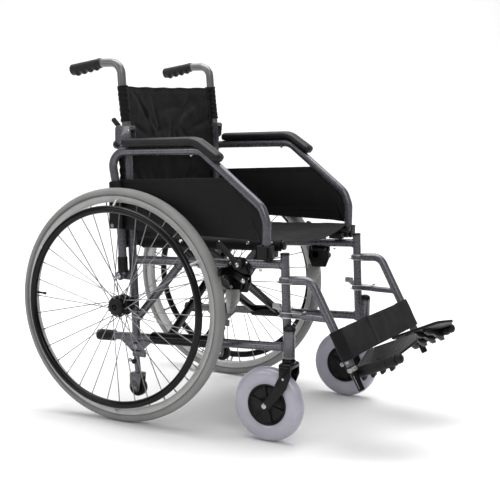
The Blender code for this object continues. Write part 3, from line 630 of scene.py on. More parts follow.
def rear_wheel(side, word):
    """Tyre, rim, hub, crossed spokes, valve and push ring."""
    centre = Vector((side * WHEEL_X, 0, WHEEL_R))
    body = word + "_wheel"
    Shape().lathe(tyre_profile(16.5, 283.2, WHEEL_R), centre, X_AXIS, TREAD_STEPS, closed=True,
                  wobble=tread).finish(word + "_tyre", "tyre_rubber", body, (word + "_rear_tyre",), sharp=24)
    rim = Shape()
    rim.lathe(((-12.2, 274), (-11, 270.5), (-7, 268.2), (7, 268.2), (11, 270.5), (12.2, 274), (12.6, 284.5),
               (11.2, 284.5), (9, 279), (-9, 279), (-11.2, 284.5), (-12.6, 284.5)), centre, X_AXIS, 144,
              closed=True)
    rim.finish(word + "_rim", "rim_alloy", body, (word + "_rear_wheel",))

    hub = Shape()
    s = side
    hub.lathe(((-26, 6.8), (-26, 14), (-20, 15.5), (-19, 15.5), (-19, 27), (-17.5, 28), (-15.5, 28),
               (-14, 27), (-14, 17), (-10, 15), (8, 15), (10, 17), (10, 27), (11.5, 28), (13.5, 28),
               (15, 27), (15, 20),
               (21, 18.5), (21, 6.8)), centre, (s, 0, 0), 48, closed=True)
    hub.lathe(((20.5, 6.6), (20.5, 21.5), (24, 21.5), (27.5, 19), (29, 14), (29, 7), (26, 6.6)), centre,
              (s, 0, 0), 48, closed=True)
    for k in range(12):
        turn = 2 * math.pi * k / 12
        spot = centre + Vector((s * 24, 20.2 * math.cos(turn), 20.2 * math.sin(turn)))
        hub.pipe((spot - X_AXIS * 3, spot + X_AXIS * 3), 2.2, sides=10, soft=0.6)
    hub.finish(word + "_hub", "black_plastic", body)

    spokes = Shape()
    for k in range(36):
        flange = 12.5 if k % 2 else -16.5
        forwards = (k // 2) % 2
        lane = 1.9 if forwards else -1.9
        at_rim = 2 * math.pi * k / 36
        at_hub = at_rim + math.radians(38 if forwards else -38)
        start = centre + Vector((s * (flange + lane), 23.5 * math.cos(at_hub), 23.5 * math.sin(at_hub)))
        out = radial(at_rim)
        end = centre + Vector((s * flange * 0.2, 0, 0)) + out * 271
        spokes.pipe((start, end), 1.3, sides=8, soft=0.2)
        along = (end - start).normalized()
        spokes.pipe((end - along * 12, end), 1.9, sides=8, soft=0.4)
        spokes.lathe(((-1.5, 0), (-1.5, 2.2), (1.5, 2.2), (1.5, 0)), start, X_AXIS, 10)
    spokes.finish(word + "_spokes", "spoke_steel", body)

    valve = Shape()
    out = radial(math.radians(2))
    base = centre + out * 270
    valve.lathe(((0, 0), (0, 4), (-4, 4), (-6, 2.8), (-22, 2.6), (-23, 3.4), (-30, 3.4), (-31, 2), (-31, 0)),
                base, out, 16)
    valve.finish(word + "_valve", "black_plastic", body)

    middle = Vector((side * HANDRIM_X, 0, WHEEL_R))
    section = [(a, HANDRIM_R + b) for a, b in ring(9.5, 9.5, 16)]
    Shape().lathe(section, middle, X_AXIS, 144, closed=True).finish(
        word + "_push_ring", "black_paint", body, (word + "_handrim",))
    lugs = Shape()
    for k in range(6):
        out = radial(2 * math.pi * (k + 0.5) / 6)
        root = Vector((side * (WHEEL_X + 12.0), 0, WHEEL_R)) + out * 274
        lugs.pipe((root, root + Vector((side * 9, 0, 0)), middle + out * (HANDRIM_R + 6)), 3.2, 8, sides=16)
        lugs.lathe(((0, 0), (0, 5.4), (1.6, 5.4), (2.2, 4.6), (2.2, 0)), root, (side, 0, 0), 20)
    lugs.finish(word + "_ring_lugs", "rim_alloy", body)


def axles(side, word):
    """Receiver on the rear post, with the quick-release pin and its button."""
    centre = Vector((side * 242, 0, WHEEL_R))
    barrel = Shape()
    barrel.lathe(((-6, 0), (-6, 13), (0, 16), (3, 16), (4, 14), (17, 14), (18, 15), (21, 15), (21, 6.0)),
                 centre, (side, 0, 0), 36)
    barrel.finish(word + "_receiver", "black_plastic", word + "_frame", (word + "_axle",))
    pin = Shape()
    pin.lathe(((0, 0), (0, 6), (65, 6), (66.5, 5), (66.5, 0)), centre, (side, 0, 0), 24)
    pin.finish(word + "_axle_pin", "bright_steel", word + "_frame")
    button = Shape()
    button.lathe(((0, 0), (0, 4.2), (5, 4.2), (7, 3.4), (7.6, 0)), (side * 313.4, 0, WHEEL_R),
                 (side, 0, 0), 20)
    button.finish(word + "_release_button", "black_plastic", word + "_axle_button",
                  (word + "_axle_button",))


# ---------------------------------------------------------------- castors
def castor(side, word):
    """Fork, bolts, solid tyre and six-spoke centre."""
    x = side * CASTOR_X
    y = CASTOR_Y + CASTOR_TRAIL
    centre = Vector((x, y, CASTOR_R))
    fork = Shape()
    fork.lathe(((0, 0), (0, 16), (2, 17), (10, 17), (13, 15), (13.8, 12), (13.8, 0)),
               (x, CASTOR_Y, 200.8), Z_AXIS, 36)
    fork.brick((x - 27.5, CASTOR_Y - 18, 190), (x + 27.5, CASTOR_Y + 16, 206), 6)
    for offset in (-24.6, 24.6):
        outline = [(CASTOR_Y + 15, 203), (CASTOR_Y + 14, 172), (CASTOR_Y + 31, 137)]
        outline += arc((y, CASTOR_R), 14.5, 85, -140, 16)
        outline += [(CASTOR_Y + 16, 113), (CASTOR_Y - 5, 142), (CASTOR_Y - 18, 176), (CASTOR_Y - 17, 203)]
        fork.side_slab(outline, x + offset, 5.4, 1.8)
    fork.finish(word + "_fork", "black_paint", word + "_castor", (word + "_castor_fork",))
    steel = Shape()
    steel.lathe(((-31, 0), (-31, 4), (-30, 6.5), (-27.2, 6.5), (-27.2, 3.6), (27.2, 3.6), (27.2, 6.5),
                 (30, 6.5), (31, 4), (31, 0)), centre, X_AXIS, 24)
    for offset in (-28, 28):
        steel.bolt((x + offset * 0.98, CASTOR_Y + 2, 168), (math.copysign(1, offset), 0, 0), 2.3, 2)
    steel.finish(word + "_castor_bolts", "bright_steel", word + "_castor")

    tyre = Shape()
    profile = [(-13.5, 52.3), (-16, 56), (-18, 64)]
    for i in range(15):
        turn = math.pi * (1 - i / 14)
        profile.append((18.2 * math.copysign(abs(math.cos(turn)) ** 0.9, math.cos(turn)),
                        72 + 22 * math.sin(turn) ** 0.85))
    profile += [(18, 64), (16, 56), (13.5, 52.3)]
    tyre.lathe(profile, centre, X_AXIS, 96, closed=True)
    tyre.finish(word + "_castor_rubber", "castor_rubber", word + "_castor_wheel", (word + "_castor_tyre",))
    hub = Shape()
    hub.lathe(((-20, 5.4), (-20, 12), (-17, 14), (-9, 17), (-6, 22), (-6, 42), (-9, 46), (-14, 49),
               (-14.6, 52.4), (14.6, 52.4), (14, 49), (9, 46), (6, 42), (6, 22), (9, 17), (17, 14),
               (20, 12), (20, 5.4)), centre, X_AXIS, 64, closed=True)
    for k in range(6):
        out = radial(2 * math.pi * k / 6 + 0.3)
        for face in (-1, 1):
            outline = ((12, 0), (48, 0), (48, 6.5), (30, 4.5), (12, 9))
            hub.slab(outline, 5, centre + X_AXIS * face * 5.5, out, X_AXIS * face, 0.8, 1)
    hub.finish(word + "_castor_hub", "black_plastic", word + "_castor_wheel", (word + "_castor_wheel",))


# ---------------------------------------------------------------- brakes
def brakes(side, word):
    """Plate under the upper rail, with its lever and the shoe it pushes."""
    s = side
    out = Vector((s, 0, 0))
    plate = Shape()
    plate.side_slab([(-352, 412), (-289, 412), (-288, 440), (-306, 453), (-334, 453), (-350, 436)],
                    s * 244.2, 5.4, 1.2)
    plate.brick((s * 218, -346, 413), (s * 244, -304, 426), 4)
    # the outline runs in through a fine slit, round the hole and out again
    hole = arc((-310, 399), 8.5, 90, 450, 18)
    bracket = [(-310.2, 430), (-350, 428), (-352, 392), (-342, 366), (-300, 364), (-288, 392), (-290, 428),
               (-309.8, 430)] + hole
    plate.side_slab(bracket, s * 240, 4, 0)
    plate.side_slab([(-350, 414), (-334, 452), (-312, 452), (-296, 414)], s * 250, 4, 1)
    plate.side_slab([(-346, 440), (-330, 372), (-320, 376), (-334, 444)], s * 247, 4, 0.8)
    plate.finish(word + "_brake_plate", "black_paint", word + "_frame", (word + "_brake_body",))
    tail = Shape()
    tail.side_slab([(-284, 368), (-322, 372), (-321, 342), (-300, 310), (-288, 308), (-284, 330)],
                   s * 243, 3, 0.8)
    tail.finish(word + "_brake_tail", "galvanised", word + "_frame")
    steel = Shape()
    for y, z in (BRAKE_PIVOT, SHOE_PIVOT):
        steel.lathe(((0, 0), (0, 4), (14, 4), (14, 6), (17.5, 6), (18.5, 4.5), (18.5, 0)),
                    (s * 245, y, z), out, 20)
    for y, z in ((-300, 377), (-346, 402), (-296, 436), (-341, 440)):
        steel.bolt((s * 246.5, y, z), out, 3.4)
    steel.finish(word + "_brake_bolts", "bright_steel", word + "_frame")

    lever = Shape()
    path = rounded_path(((s * 265, -268, 489), (s * 263, -292, 468), (s * 257, -322, 437)), 60)

    def section(i, t):
        grow = 1.0 - 0.25 * t
        tip = math.sin(min(1.0, (i + 0.4) / 2.0) * math.pi / 2)
        return ring(4.6 * tip, 8.8 * grow * tip, 20)
    fine = [path[0]]
    for a, b in zip(path, path[1:]):
        fine += [a.lerp(b, (i + 1) / 4) for i in range(4)]
    lever.sweep(fine, section)
    lever.lathe(((-4.4, 4.6), (-4.4, 12), (-3.4, 13), (3.4, 13), (4.4, 12), (4.4, 4.6)),
                (s * 257, *BRAKE_PIVOT), X_AXIS, 32, closed=True)
    lever.finish(word + "_brake_handle", "grip_rubber", word + "_brake_lever", (word + "_brake_lever",))

    shoe = Shape()
    shoe.side_slab([(-295, 425)] + arc(SHOE_PIVOT, 10, 100, 300, 10) + [(-291, 411)], s * 256, 5.6, 1)
    shoe.brick((s * 253, -298.5, 410), (s * 304, -292, 430), 2)
    shoe.finish(word + "_brake_pad", "black_paint", word + "_brake_shoe", (word + "_brake_shoe",))


# ---------------------------------------------------------------- armrests
ARM_PATH = ((15, 390), (20, 480), (36, 607), (54, 698), (-212, 713), (-386, 581), (-400, 545), (-400, 491))


def armrest(side, word):
    """Bent tube with its foot and hinge lug, skirt guard and padded top."""
    x = side * ARMREST_X
    body = word + "_armrest"
    out = Vector((side, 0, 0))
    tube = Shape()
    tube.pipe([(x, y, z) for y, z in ARM_PATH], TUBE_R, 44)
    tube.finish(word + "_armrest_pipe", "frame_paint", body, (word + "_armrest_tube",))
    bright = Shape()
    bright.pipe(((x, -400, 461), (x, -400, 492)), 7.6, sides=24)
    bright.bolt((x, -186, 700.4), (0, 0, -1), 3.2, 4)
    bright.bolt((x + side * 13.2, 40, 508), out, 3.6)
    bright.bolt((x + side * 2.2, -352, 612), out, 3.0)
    bright.finish(word + "_armrest_steel", "bright_steel", body)
    lug = Shape()
    lug.lathe(((-6.3, 5.6), (-6.3, 11.5), (-5.3, 12.5), (5.3, 12.5), (6.3, 11.5), (6.3, 5.6)),
              (x, *ARM_PIVOT), X_AXIS, 32, closed=True)
    lug.brick((x - 5.5, ARM_PIVOT[0] - 16, 380), (x + 5.5, ARM_PIVOT[0] + 4, 396), 2)
    lug.finish(word + "_armrest_lug", "frame_paint", body)
    foot = Shape()
    foot.pipe(((x, 15.2, 388), (x, 17.6, 428)), 13.2, sides=32, soft=1.6)
    foot.finish(word + "_armrest_foot", "black_plastic", body)

    panel = Shape()
    panel.side_slab([(30, 500), (30, 627), (-291, 649), (-376, 584), (-391, 550), (-393, 497), (-352, 500)],
                    x, 4, 1.2)
    rear = [(10, 502), (44, 500)] + arc((44, 506), 6, -90, 0, 5) + [(50, 612)] + arc((44, 616), 7, 0, 80, 5)
    rear += [(20, 627), (10, 600)]
    panel.side_slab(rear, x, 27, 2.5)
    for low, high, reach in ((619.5, 640.0, -296), (512.5, 533.0, -345)):
        line = [(30, low), (reach, high), (reach, high - 3), (30, low - 3)]
        panel.side_slab(line, x, 5, 0.5)
    panel.finish(word + "_skirt_guard", "panel_plastic", body, (word + "_side_panel",))
    # Painted shade: a black strip on the guard where a shadowed gap shows beside the armrest's front leg.
    gap_shade = Shape()
    gap_shade.side_slab([(-361, 553), (-386, 498), (-380, 498), (-361, 549)], x, 5.4, 0.4)
    gap_shade.finish(word + "_guard_gap_shade", "black_paint", body)

    pad_x = side * 264.5
    spine = rounded_path([(pad_x, y, z) for y, z in ((13, 720.5), (-206, 733), (-268, 694), (-276, 689))],
                         46)
    fine = []
    for a, b in zip(spine, spine[1:]):
        steps = max(1, round((b - a).length / 5))
        fine += [a.lerp(b, i / steps) for i in range(steps)]
    fine.append(spine[-1])
    total = len(fine) - 1

    def section(i, t):
        along = min(i, total - i) * 5.0
        end = math.sqrt(max(0.0, 1 - max(0.0, 1 - along / 15.0) ** 2)) * 0.94 + 0.06
        points = []
        for k in range(32):
            turn = 2 * math.pi * k / 32
            c, w = math.cos(turn), math.sin(turn)
            wide = 21.5 * math.copysign(abs(c) ** 0.62, c)
            tall = (13.5 if w > 0 else 9.5) * math.copysign(abs(w) ** 0.7, w)
            points.append((wide * end, tall * end))
        return points
    pad = Shape()
    pad.sweep(fine, section)
    obj = pad.finish(word + "_arm_pad", "pad_skin", body, (word + "_armrest_pad",), sharp=80)


# ---------------------------------------------------------------- back
def cane_point(h):
    """Centre of the back cane at height h along it (x left at 0)."""
    if h <= POST_TOP_H:
        return on_frame(0, REAR_S, h)
    t = (h - POST_TOP_H) / (SLEEVE_TOP_H - POST_TOP_H)
    return on_frame(0, REAR_S + (1.5 - REAR_S) * t, h)


def push_handle(side, word):
    """Upper back cane from its hinge up to the hand grip, with the release lever."""
    x = side * FRAME_X
    body = word + "_upper_back"
    cane = Shape()
    offset = Vector((x, 0, 0))
    cane.pipe((offset + cane_point(POST_TOP_H + 1), offset + cane_point(SLEEVE_TOP_H), (x, 42, 926),
               (x, 104, 924.4)), TUBE_R, 62)
    cane.finish(word + "_handle_tube", "handle_paint", body, (word + "_upper_cane",))
    cheeks = Shape()
    outline = [(50, 727)] + arc(BACK_PIVOT, 11, 40, -90, 8)
    outline += [(35, 719), (9, 724), (5, 730), (3, 760), (7, 765), (46, 765), (50, 758)]
    for shift in (-12.7, 12.7):
        cheeks.side_slab(outline, x + shift, 1.8, 0.6)
    cheeks.brick((x - 13.4, 5, 754), (x + 13.4, 49, 765.5), 2.5)
    cheeks.finish(word + "_hinge_cheeks", "frame_paint", body)
    screw = Shape()
    screw.bolt((x + side * 13.4, 9, 752), (side, 0, 0), 3.2)
    screw.finish(word + "_hinge_screw", "bright_steel", body)

    grip = Shape()
    start, end = Vector((x, 99, 925.4)), Vector((x, 197, 904.6))
    steps = 64
    path = [start.lerp(end, i / steps) for i in range(steps + 1)]

    def section(i, t):
        flare = 1.0
        if t < 0.05:
            flare = 0.86 + 0.14 * math.sin(t / 0.05 * math.pi / 2)
        if t > 0.94:
            flare = math.sqrt(max(0.02, 1 - ((t - 0.94) / 0.06) ** 2)) * 0.9 + 0.1
        points = []
        for k in range(28):
            turn = 2 * math.pi * k / 28
            c, w = math.cos(turn), math.sin(turn)
            under = max(0.0, w)
            scallop = 4.4 * under * (0.5 - 0.5 * math.cos(2 * math.pi * 4 * min(1, max(0, (t - 0.1) / 0.8))))
            radius = (12.4 + 2.4 * t + (1.0 if 0.06 < t < 0.1 else 0)) * flare + scallop * flare
            points.append((radius * c, radius * w))
        return points
    grip.sweep(path, section)
    grip.finish(word + "_hand_grip", "grip_rubber", body, (word + "_grip",), sharp=60)

    lever = Shape()
    lever.pipe(((x, 46, 762), (x, 52, 768), (x, 66, 782)), 6.6, 6, sides=24, soft=3)
    lever.finish(word + "_release_lever", "black_plastic", word + "_back_release", (word + "_back_release",))


def back_panel(name, cad, body, low_h, high_h, half, behind, sag):
    """One slung nylon panel; `behind` sets it back so that it passes behind the canes."""
    length = high_h - low_h
    upper = cad == "back_upper"

    def place(u, v):
        h = low_h + length * v
        x = -half + 2 * half * u
        middle = 1 - (2 * u - 1) ** 2
        hollow = sag * middle * (0.75 + 0.25 * math.sin(math.pi * v))
        fade = min(1.0, middle * 5)
        crease = folds(x, (h - low_h) * (1 if upper else 0.8), BACK_FOLDS) * fade
        drape = (fuzz(x, h * 1.4, 3, 48, 3.0) + fuzz(x, h * 0.5, 9, 20, 1.1)) * fade
        pucker = 1.3 * math.sin(h / 4.6 + 2 * math.sin(h / 17)) * math.exp(-((half - abs(x)) / 11) ** 2)
        droop = (-1.6 * middle + 0.8 * math.sin(u * 31)) * v if upper else 0.6 * math.sin(u * 26) * (1 - v)
        point = cane_point(h) + UPWARD * droop
        return (x, point.y + behind + hollow + drape + crease + pucker, point.z)
    cloth = Shape().grid(2 * half, length, place, 3.0, 150, 70).finish(name, "nylon", body, (cad,), sharp=70)
    hems = Shape()
    for v in ((0.0, 1.0) if upper else (0.0,)):
        hems.sweep([Vector(place(i / 100, v)) for i in range(101)], lambda i, t: ring(2.0, 3.2, 10))
    edge = hems.finish(name + "_hems", "webbing", body)
    stitches = Shape()
    lift = Vector((0, -2.0, 0))
    for v in ((0.09, 0.93) if upper else (0.07,)):
        for i in range(int(2 * half / 7)):
            stitches.stitch(place((i * 7 + 1.5) / (2 * half), v), place((i * 7 + 5.5) / (2 * half), v),
                            lift, 0.5)
    for u in (0.055, 0.945):
        for i in range(int(length / 7)):
            stitches.stitch(place(u, (i * 7 + 1.5) / length), place(u, min(1, (i * 7 + 5.5) / length)),
                            lift, 0.5)
    sewn = stitches.finish(name + "_stitches", "thread", body)
    for soft in (cloth, edge, sewn):
        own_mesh(soft)


def cane_sleeve(side, word):
    """Nylon sleeve sewn round a cane, with its seam allowance on the inner side."""
    low_h, high_h = POST_TOP_H + 24, SLEEVE_TOP_H - 1
    sleeve = Shape()
    steps = 60
    path = [Vector((side * FRAME_X, 0, 0)) + cane_point(low_h + (high_h - low_h) * i / steps)
            for i in range(steps + 1)]

    def section(i, t):
        points = []
        hem = 0.8 if min(i, steps - i) < 3 else 0.0
        for k in range(32):
            turn = 2 * math.pi * k / 32
            pucker = 0.45 * math.sin(i * 0.75 + 2.5 * math.cos(turn)) + fuzz(i * 3, k * 4, side * 5, 14, 0.8)
            radius = 12.9 + pucker + hem
            points.append((radius * math.cos(turn), radius * math.sin(turn)))
        return points
    sleeve.sweep(path, section)

    def flap(i, t):
        wave = 0.6 * math.sin(i * 0.6)
        return [(a, b + wave) for a, b in ((-8, -2.4), (0, -3.0), (8, -2.4), (8, 2.4), (0, 3.0), (-8, 2.4))]
    sleeve.sweep([p + Vector((-side * 18.5, 2.0, 0)) for p in path], flap)
    sleeve.finish(word + "_upper_sleeve", "nylon", word + "_upper_back", sharp=70)


def back_cloth():
    back_panel("back_upper_cloth", "back_upper", "right_upper_back", SPLIT_H - 24, SLEEVE_TOP_H - 5,
               FRAME_X - 13, 0, 14)
    back_panel("back_lower_cloth", "back_lower", "right_frame", 238, SPLIT_H - 10, FRAME_X + 17, 15.5, 9)
    for side, word in SIDES:
        cane_sleeve(side, word)


# ---------------------------------------------------------------- cross brace and seat
def brace(name, foot_side, inset):
    """One half of the scissor: two bars, the seat rail on top and the sleeve on the lower rail."""
    foot_x = foot_side * FRAME_X
    head_x = -foot_side * SEAT_RAIL_X
    stations = [108.0 + inset, 219.0 - inset]
    shape = Shape()
    shape.pipe((on_frame(head_x, 20, SEAT_H), on_frame(head_x, 440, SEAT_H)), TUBE_R)
    for s in stations:
        foot, head = on_frame(foot_x, s, 0), on_frame(head_x, s, SEAT_H)
        along = (head - foot).normalized()
        up = along.cross(FORWARD).normalized()
        outline = ((-6, -8), (-5.2, -10.2), (-3, -11), (3, -11), (5.2, -10.2), (6, -8),
                   (6, 8), (5.2, 10.2), (3, 11), (-3, 11), (-5.2, 10.2), (-6, 8))
        rings = []
        for centre in (foot + along * 13, head):
            rings.append([shape.bm.verts.new(centre + FORWARD * a + up * b) for a, b in outline])
        for k in range(12):
            n = (k + 1) % 12
            shape.bm.faces.new((rings[0][k], rings[0][n], rings[1][n], rings[1][k]))
        shape.bm.faces.new(rings[0])
        shape.bm.faces.new(rings[1])
    start, end = stations[0] - (28 if inset else 48) + inset, stations[1] + 28 - inset
    sleeve = [(start, 11.6), (start, 15), (start + 1, 16), (end - 1, 16), (end, 15), (end, 11.6)]
    shape.lathe(sleeve, on_frame(foot_x, 0, 0), FORWARD, 36, closed=True)
    shape.finish(name + "_bars", "black_paint", name, (name,))
    caps = Shape()
    for s, axis in ((440, FORWARD), (20, -FORWARD)):
        caps.lathe(((-6, 0), (-6, 11.3), (-5, 11.9), (0.4, 11.7), (1.5, 9.5), (1.8, 0)),
                   on_frame(head_x, s, SEAT_H), axis, 28)
    caps.finish(name + "_caps", "black_plastic", name)
    bolts = Shape()
    middle = SEAT_H * FRAME_X / (FRAME_X + SEAT_RAIL_X)
    if foot_side < 0:
        for s, axis in ((stations[0] - 6, -FORWARD), (stations[1] + 6, FORWARD)):
            bolts.bolt(on_frame(0, s, middle), axis, 6, 5)
            bolts.lathe(((0, 0), (0, 4), (22, 4), (22, 0)), on_frame(0, s, middle), -axis, 16)
    for s in (150, 262, 345, 410):
        bolts.bolt(on_frame(head_x - foot_side * 12.6, s, SEAT_H + 6), Vector((-foot_side, 0, 0.3)), 3.6)
    bolts.finish(name + "_bolts", "bright_steel", name)


def seat():
    """Slung nylon seat, wrapped round both rails and sagging between them."""
    front, rear = 430.0, 32.0
    length = front - rear
    wrap = 13.2
    half = SEAT_RAIL_X
    # across the seat: up the outside of one rail, over the sling and down the other
    outer = []
    for i in range(9):
        turn = math.radians(250 - 160 * i / 8)
        outer.append((-half + wrap * math.cos(turn), wrap * math.sin(turn)))
    span = []
    for i in range(1, 60):
        x = -half + 2 * half * i / 60
        u = i / 60
        span.append((x, wrap - 12.5 * math.sin(math.pi * u) ** 0.7))
    profile = outer + span + [(-a, b) for a, b in reversed(outer)]
    count = len(profile) - 1

    def place(u, v):
        i = min(count - 1, int(u * count))
        t = u * count - i
        a = profile[i][0] * (1 - t) + profile[i + 1][0] * t
        b = profile[i][1] * (1 - t) + profile[i + 1][1] * t
        inside = max(0.0, 1 - (a / half) ** 2)
        ends = math.exp(-((v * length) / 40) ** 2) + math.exp(-(((1 - v) * length) / 40) ** 2)
        b -= 9.0 * inside * ends
        b += min(1.0, inside * 3) * folds(a, v * length, SEAT_FOLDS)
        b += inside * (fuzz(a, v * length, 5, 64, 3.6) + fuzz(a * 0.6, v * length * 1.5, 8, 26, 1.3))
        b += 0.9 * math.sin(v * length / 13) * math.exp(-((half - abs(a) - 10) / 16) ** 2)
        return on_frame(a, rear + length * v, SEAT_H + b)
    cloth = Shape().grid(2 * half + 60, length, place, 3.2, count, 90).finish(
        "seat_cloth", "nylon", "brace_a", ("seat_sling",), sharp=70, ride=False)

    hems = Shape()
    for v in (0.0, 1.0):
        hems.sweep([Vector(place(i / count, v)) for i in range(count + 1)],
                   lambda i, t: ring(2.6, 3.6, 10))
    edge = hems.finish("seat_hems", "webbing", "brace_a", ride=False)
    stitches = Shape()
    lift = UPWARD * 2.2
    for row in (0.035, 0.965):
        for i in range(int(2 * half / 8)):
            u0 = (8 + (i * 8 + 1.5) / (2 * half) * 60) / count
            u1 = (8 + (i * 8 + 6.0) / (2 * half) * 60) / count
            stitches.stitch(place(u0, row), place(u1, row), lift, 0.6)
    for u in (0.17, 0.83):
        for i in range(int(length / 8)):
            stitches.stitch(place(u, (i * 8 + 1.5) / length), place(u, min(1, (i * 8 + 6.0) / length)),
                            lift, 0.6)
    sewn = stitches.finish("seat_stitches", "thread", "brace_a", ride=False)
    for piece in (cloth, edge, sewn):
        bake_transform(piece)


# ---------------------------------------------------------------- legrests
def barrel_axes():
    """Directions along the footplate's hinge barrel and up from it."""
    along = (BARREL_FRONT - BARREL_REAR).normalized()
    return along, along.cross(X_AXIS)


def legrest(side, word):
    """Hanger on two collars, latch, foot tube and ribbed footplate."""
    x = side * FRAME_X
    body = word + "_legrest"
    offset = Vector((x, 0, 0))
    out = Vector((side, 0, 0))
    collar = on_frame(x, POST_S, 167)
    bend, end = offset + HANGER_BEND, offset + HANGER_END
    tube = Shape()
    tube.pipe(((x, collar.y - 13, 405), bend, end), TUBE_R, 30)
    tube.pipe(((x, -462, 319), (x, -559, 319)), 7.8, sides=24)
    for h in (167, 81):
        band = [(-5, 12.0), (-5, 16), (-4, 17), (4, 17), (5, 16), (5, 12.0)]
        tube.lathe(band, on_frame(x, POST_S, h), UPWARD, 40, closed=True)
    tube.finish(word + "_hanger", "frame_paint", body, (word + "_legrest",))
    bright = Shape()
    for h in (173.5, 87.5, 74.5):
        bright.lathe([(-1.4, 11.8), (-1.4, 14.5), (1.4, 14.5), (1.4, 11.8)], on_frame(x, POST_S, h),
                     UPWARD, 32, closed=True)
    for h, reach in ((160.5, 22), (88.5, 44), (76.5, 44)):
        centre = on_frame(x, POST_S, h)
        outline = [(24, 0), (14, 12.5), (0, 17.5), (-reach * 0.6, 13), (-reach, 9), (-reach, -9),
                   (-reach * 0.6, -13), (0, -17.5), (14, -12.5)]
        outline += [(24, -0.2), (11.8, -0.2)]
        outline += arc((0, 0), 11.8, -12, -348, 28)
        outline += [(11.8, 0)]
        bright.slab(outline, 2.0, centre, (0, 1, 0), X_AXIS, 0)
    bright.bolt((x, PLATE_BOLT_Y, 329.5), Z_AXIS, 4.2, 4)
    bright.bolt(end + (bend - end).normalized() * 12 + out * 10, out, 3.2)
    bright.finish(word + "_latch_plate", "bright_steel", body)
    latch = Shape()
    latch.brick((x - 5, -430, 331), (x + 5, -408, 345), 2.5)
    latch.side_slab([(-437, 325), (-437, 335), (-414, 343), (-414, 331)], x, 9, 2)
    latch.finish(word + "_latch_tab", "galvanised", word + "_legrest_latch", (word + "_latch_lever",))

    axis = (end - bend).normalized()
    along, up = barrel_axes()
    foot = Shape()
    top = end + axis * 0.4
    foot.pipe((top - axis * 4, top + axis * 62), 8.6, sides=24)
    foot.bead(top + axis * 4, axis, 9.6, 2.6)
    hinge = Vector((side * BARREL_X, 0, 0)) + BARREL_REAR
    knuckle = hinge - along * 7.5
    foot.pipe((knuckle - along * 6, knuckle + along * 6.8), 13, sides=32, soft=2)
    foot.pipe((knuckle - along * 1.5, top + axis * 16), 6.6, sides=20)
    foot.finish(word + "_foot_stem", "black_paint", body, (word + "_foot_tube",))
    clamp = Shape()
    clamp.lathe(((-5, 8.9), (-5, 11.8), (-4, 12.8), (4, 12.8), (5, 11.8), (5, 8.9)), top + axis * 7,
                axis, 32, closed=True)
    clamp.brick((x - 5 + side * 12, top.y - 9, top.z - 12), (x + 5 + side * 12, top.y + 1, top.z - 2), 2)
    clamp.slab(((-0.6, 22), (0.6, 22), (0.6, 56), (-0.6, 56)), 0.8, top + out * 8.4, axis.cross(out),
               axis, 0.2)
    clamp.finish(word + "_stem_clamp", "galvanised", body)

    plate = Shape()
    offset = Vector((side * BARREL_X, 0, 0))
    rear = offset + BARREL_REAR
    length = (BARREL_FRONT - BARREL_REAR).length
    plate.lathe(((0, 0), (0, 12.4), (1.6, 14), (length - 26, 14), (length - 25, 12.4), (length - 12, 12.4),
                 (length - 11, 14), (length - 2, 14), (length, 12), (length, 0)), rear, along, 36)
    plate.lathe(((length + 1, 0), (length + 1, 11), (length + 5, 12.4), (length + 13, 11.5),
                 (length + 17, 7), (length + 18, 0)), rear, along, 28)
    lift = math.radians(12)
    inward = Vector((-side * math.cos(lift), 0, 0)) + up * math.sin(lift)
    normal = along.cross(inward)
    normal = normal if normal.z > 0 else -normal
    base = rear + up * 9
    outline = [(0, 2), (14, 2), (90, -3), (112, -5)] + arc((112, 5), 10, -80, 0, 5) + [(122, 100)]
    outline += arc((104, 122), 18, 0, 62, 6) + [(60, 152), (14, 128), (0, 122)]
    plate.slab(outline, 8, base, inward, along, 3, 3)
    for step in (10, 36, 62, 88):
        fin = ((-6, -8), (112, 0), (112, -12), (88, -20), (60, -18), (34, -26), (12, -34), (-4, -32))
        plate.slab(fin, 9, base + along * step, inward, normal, 2.5)
    for step in range(13):
        a = base + inward * 18 + along * (10 + step * 9.0) + normal * 3.9
        b = base + inward * 112 + along * (4 + step * 9.0) + normal * 3.9
        plate.pipe((a, b), 1.2, sides=10, soft=0.5)
    plate.finish(word + "_foot_tread", "black_plastic", word + "_footplate", (word + "_footplate",),
                 sharp=35)


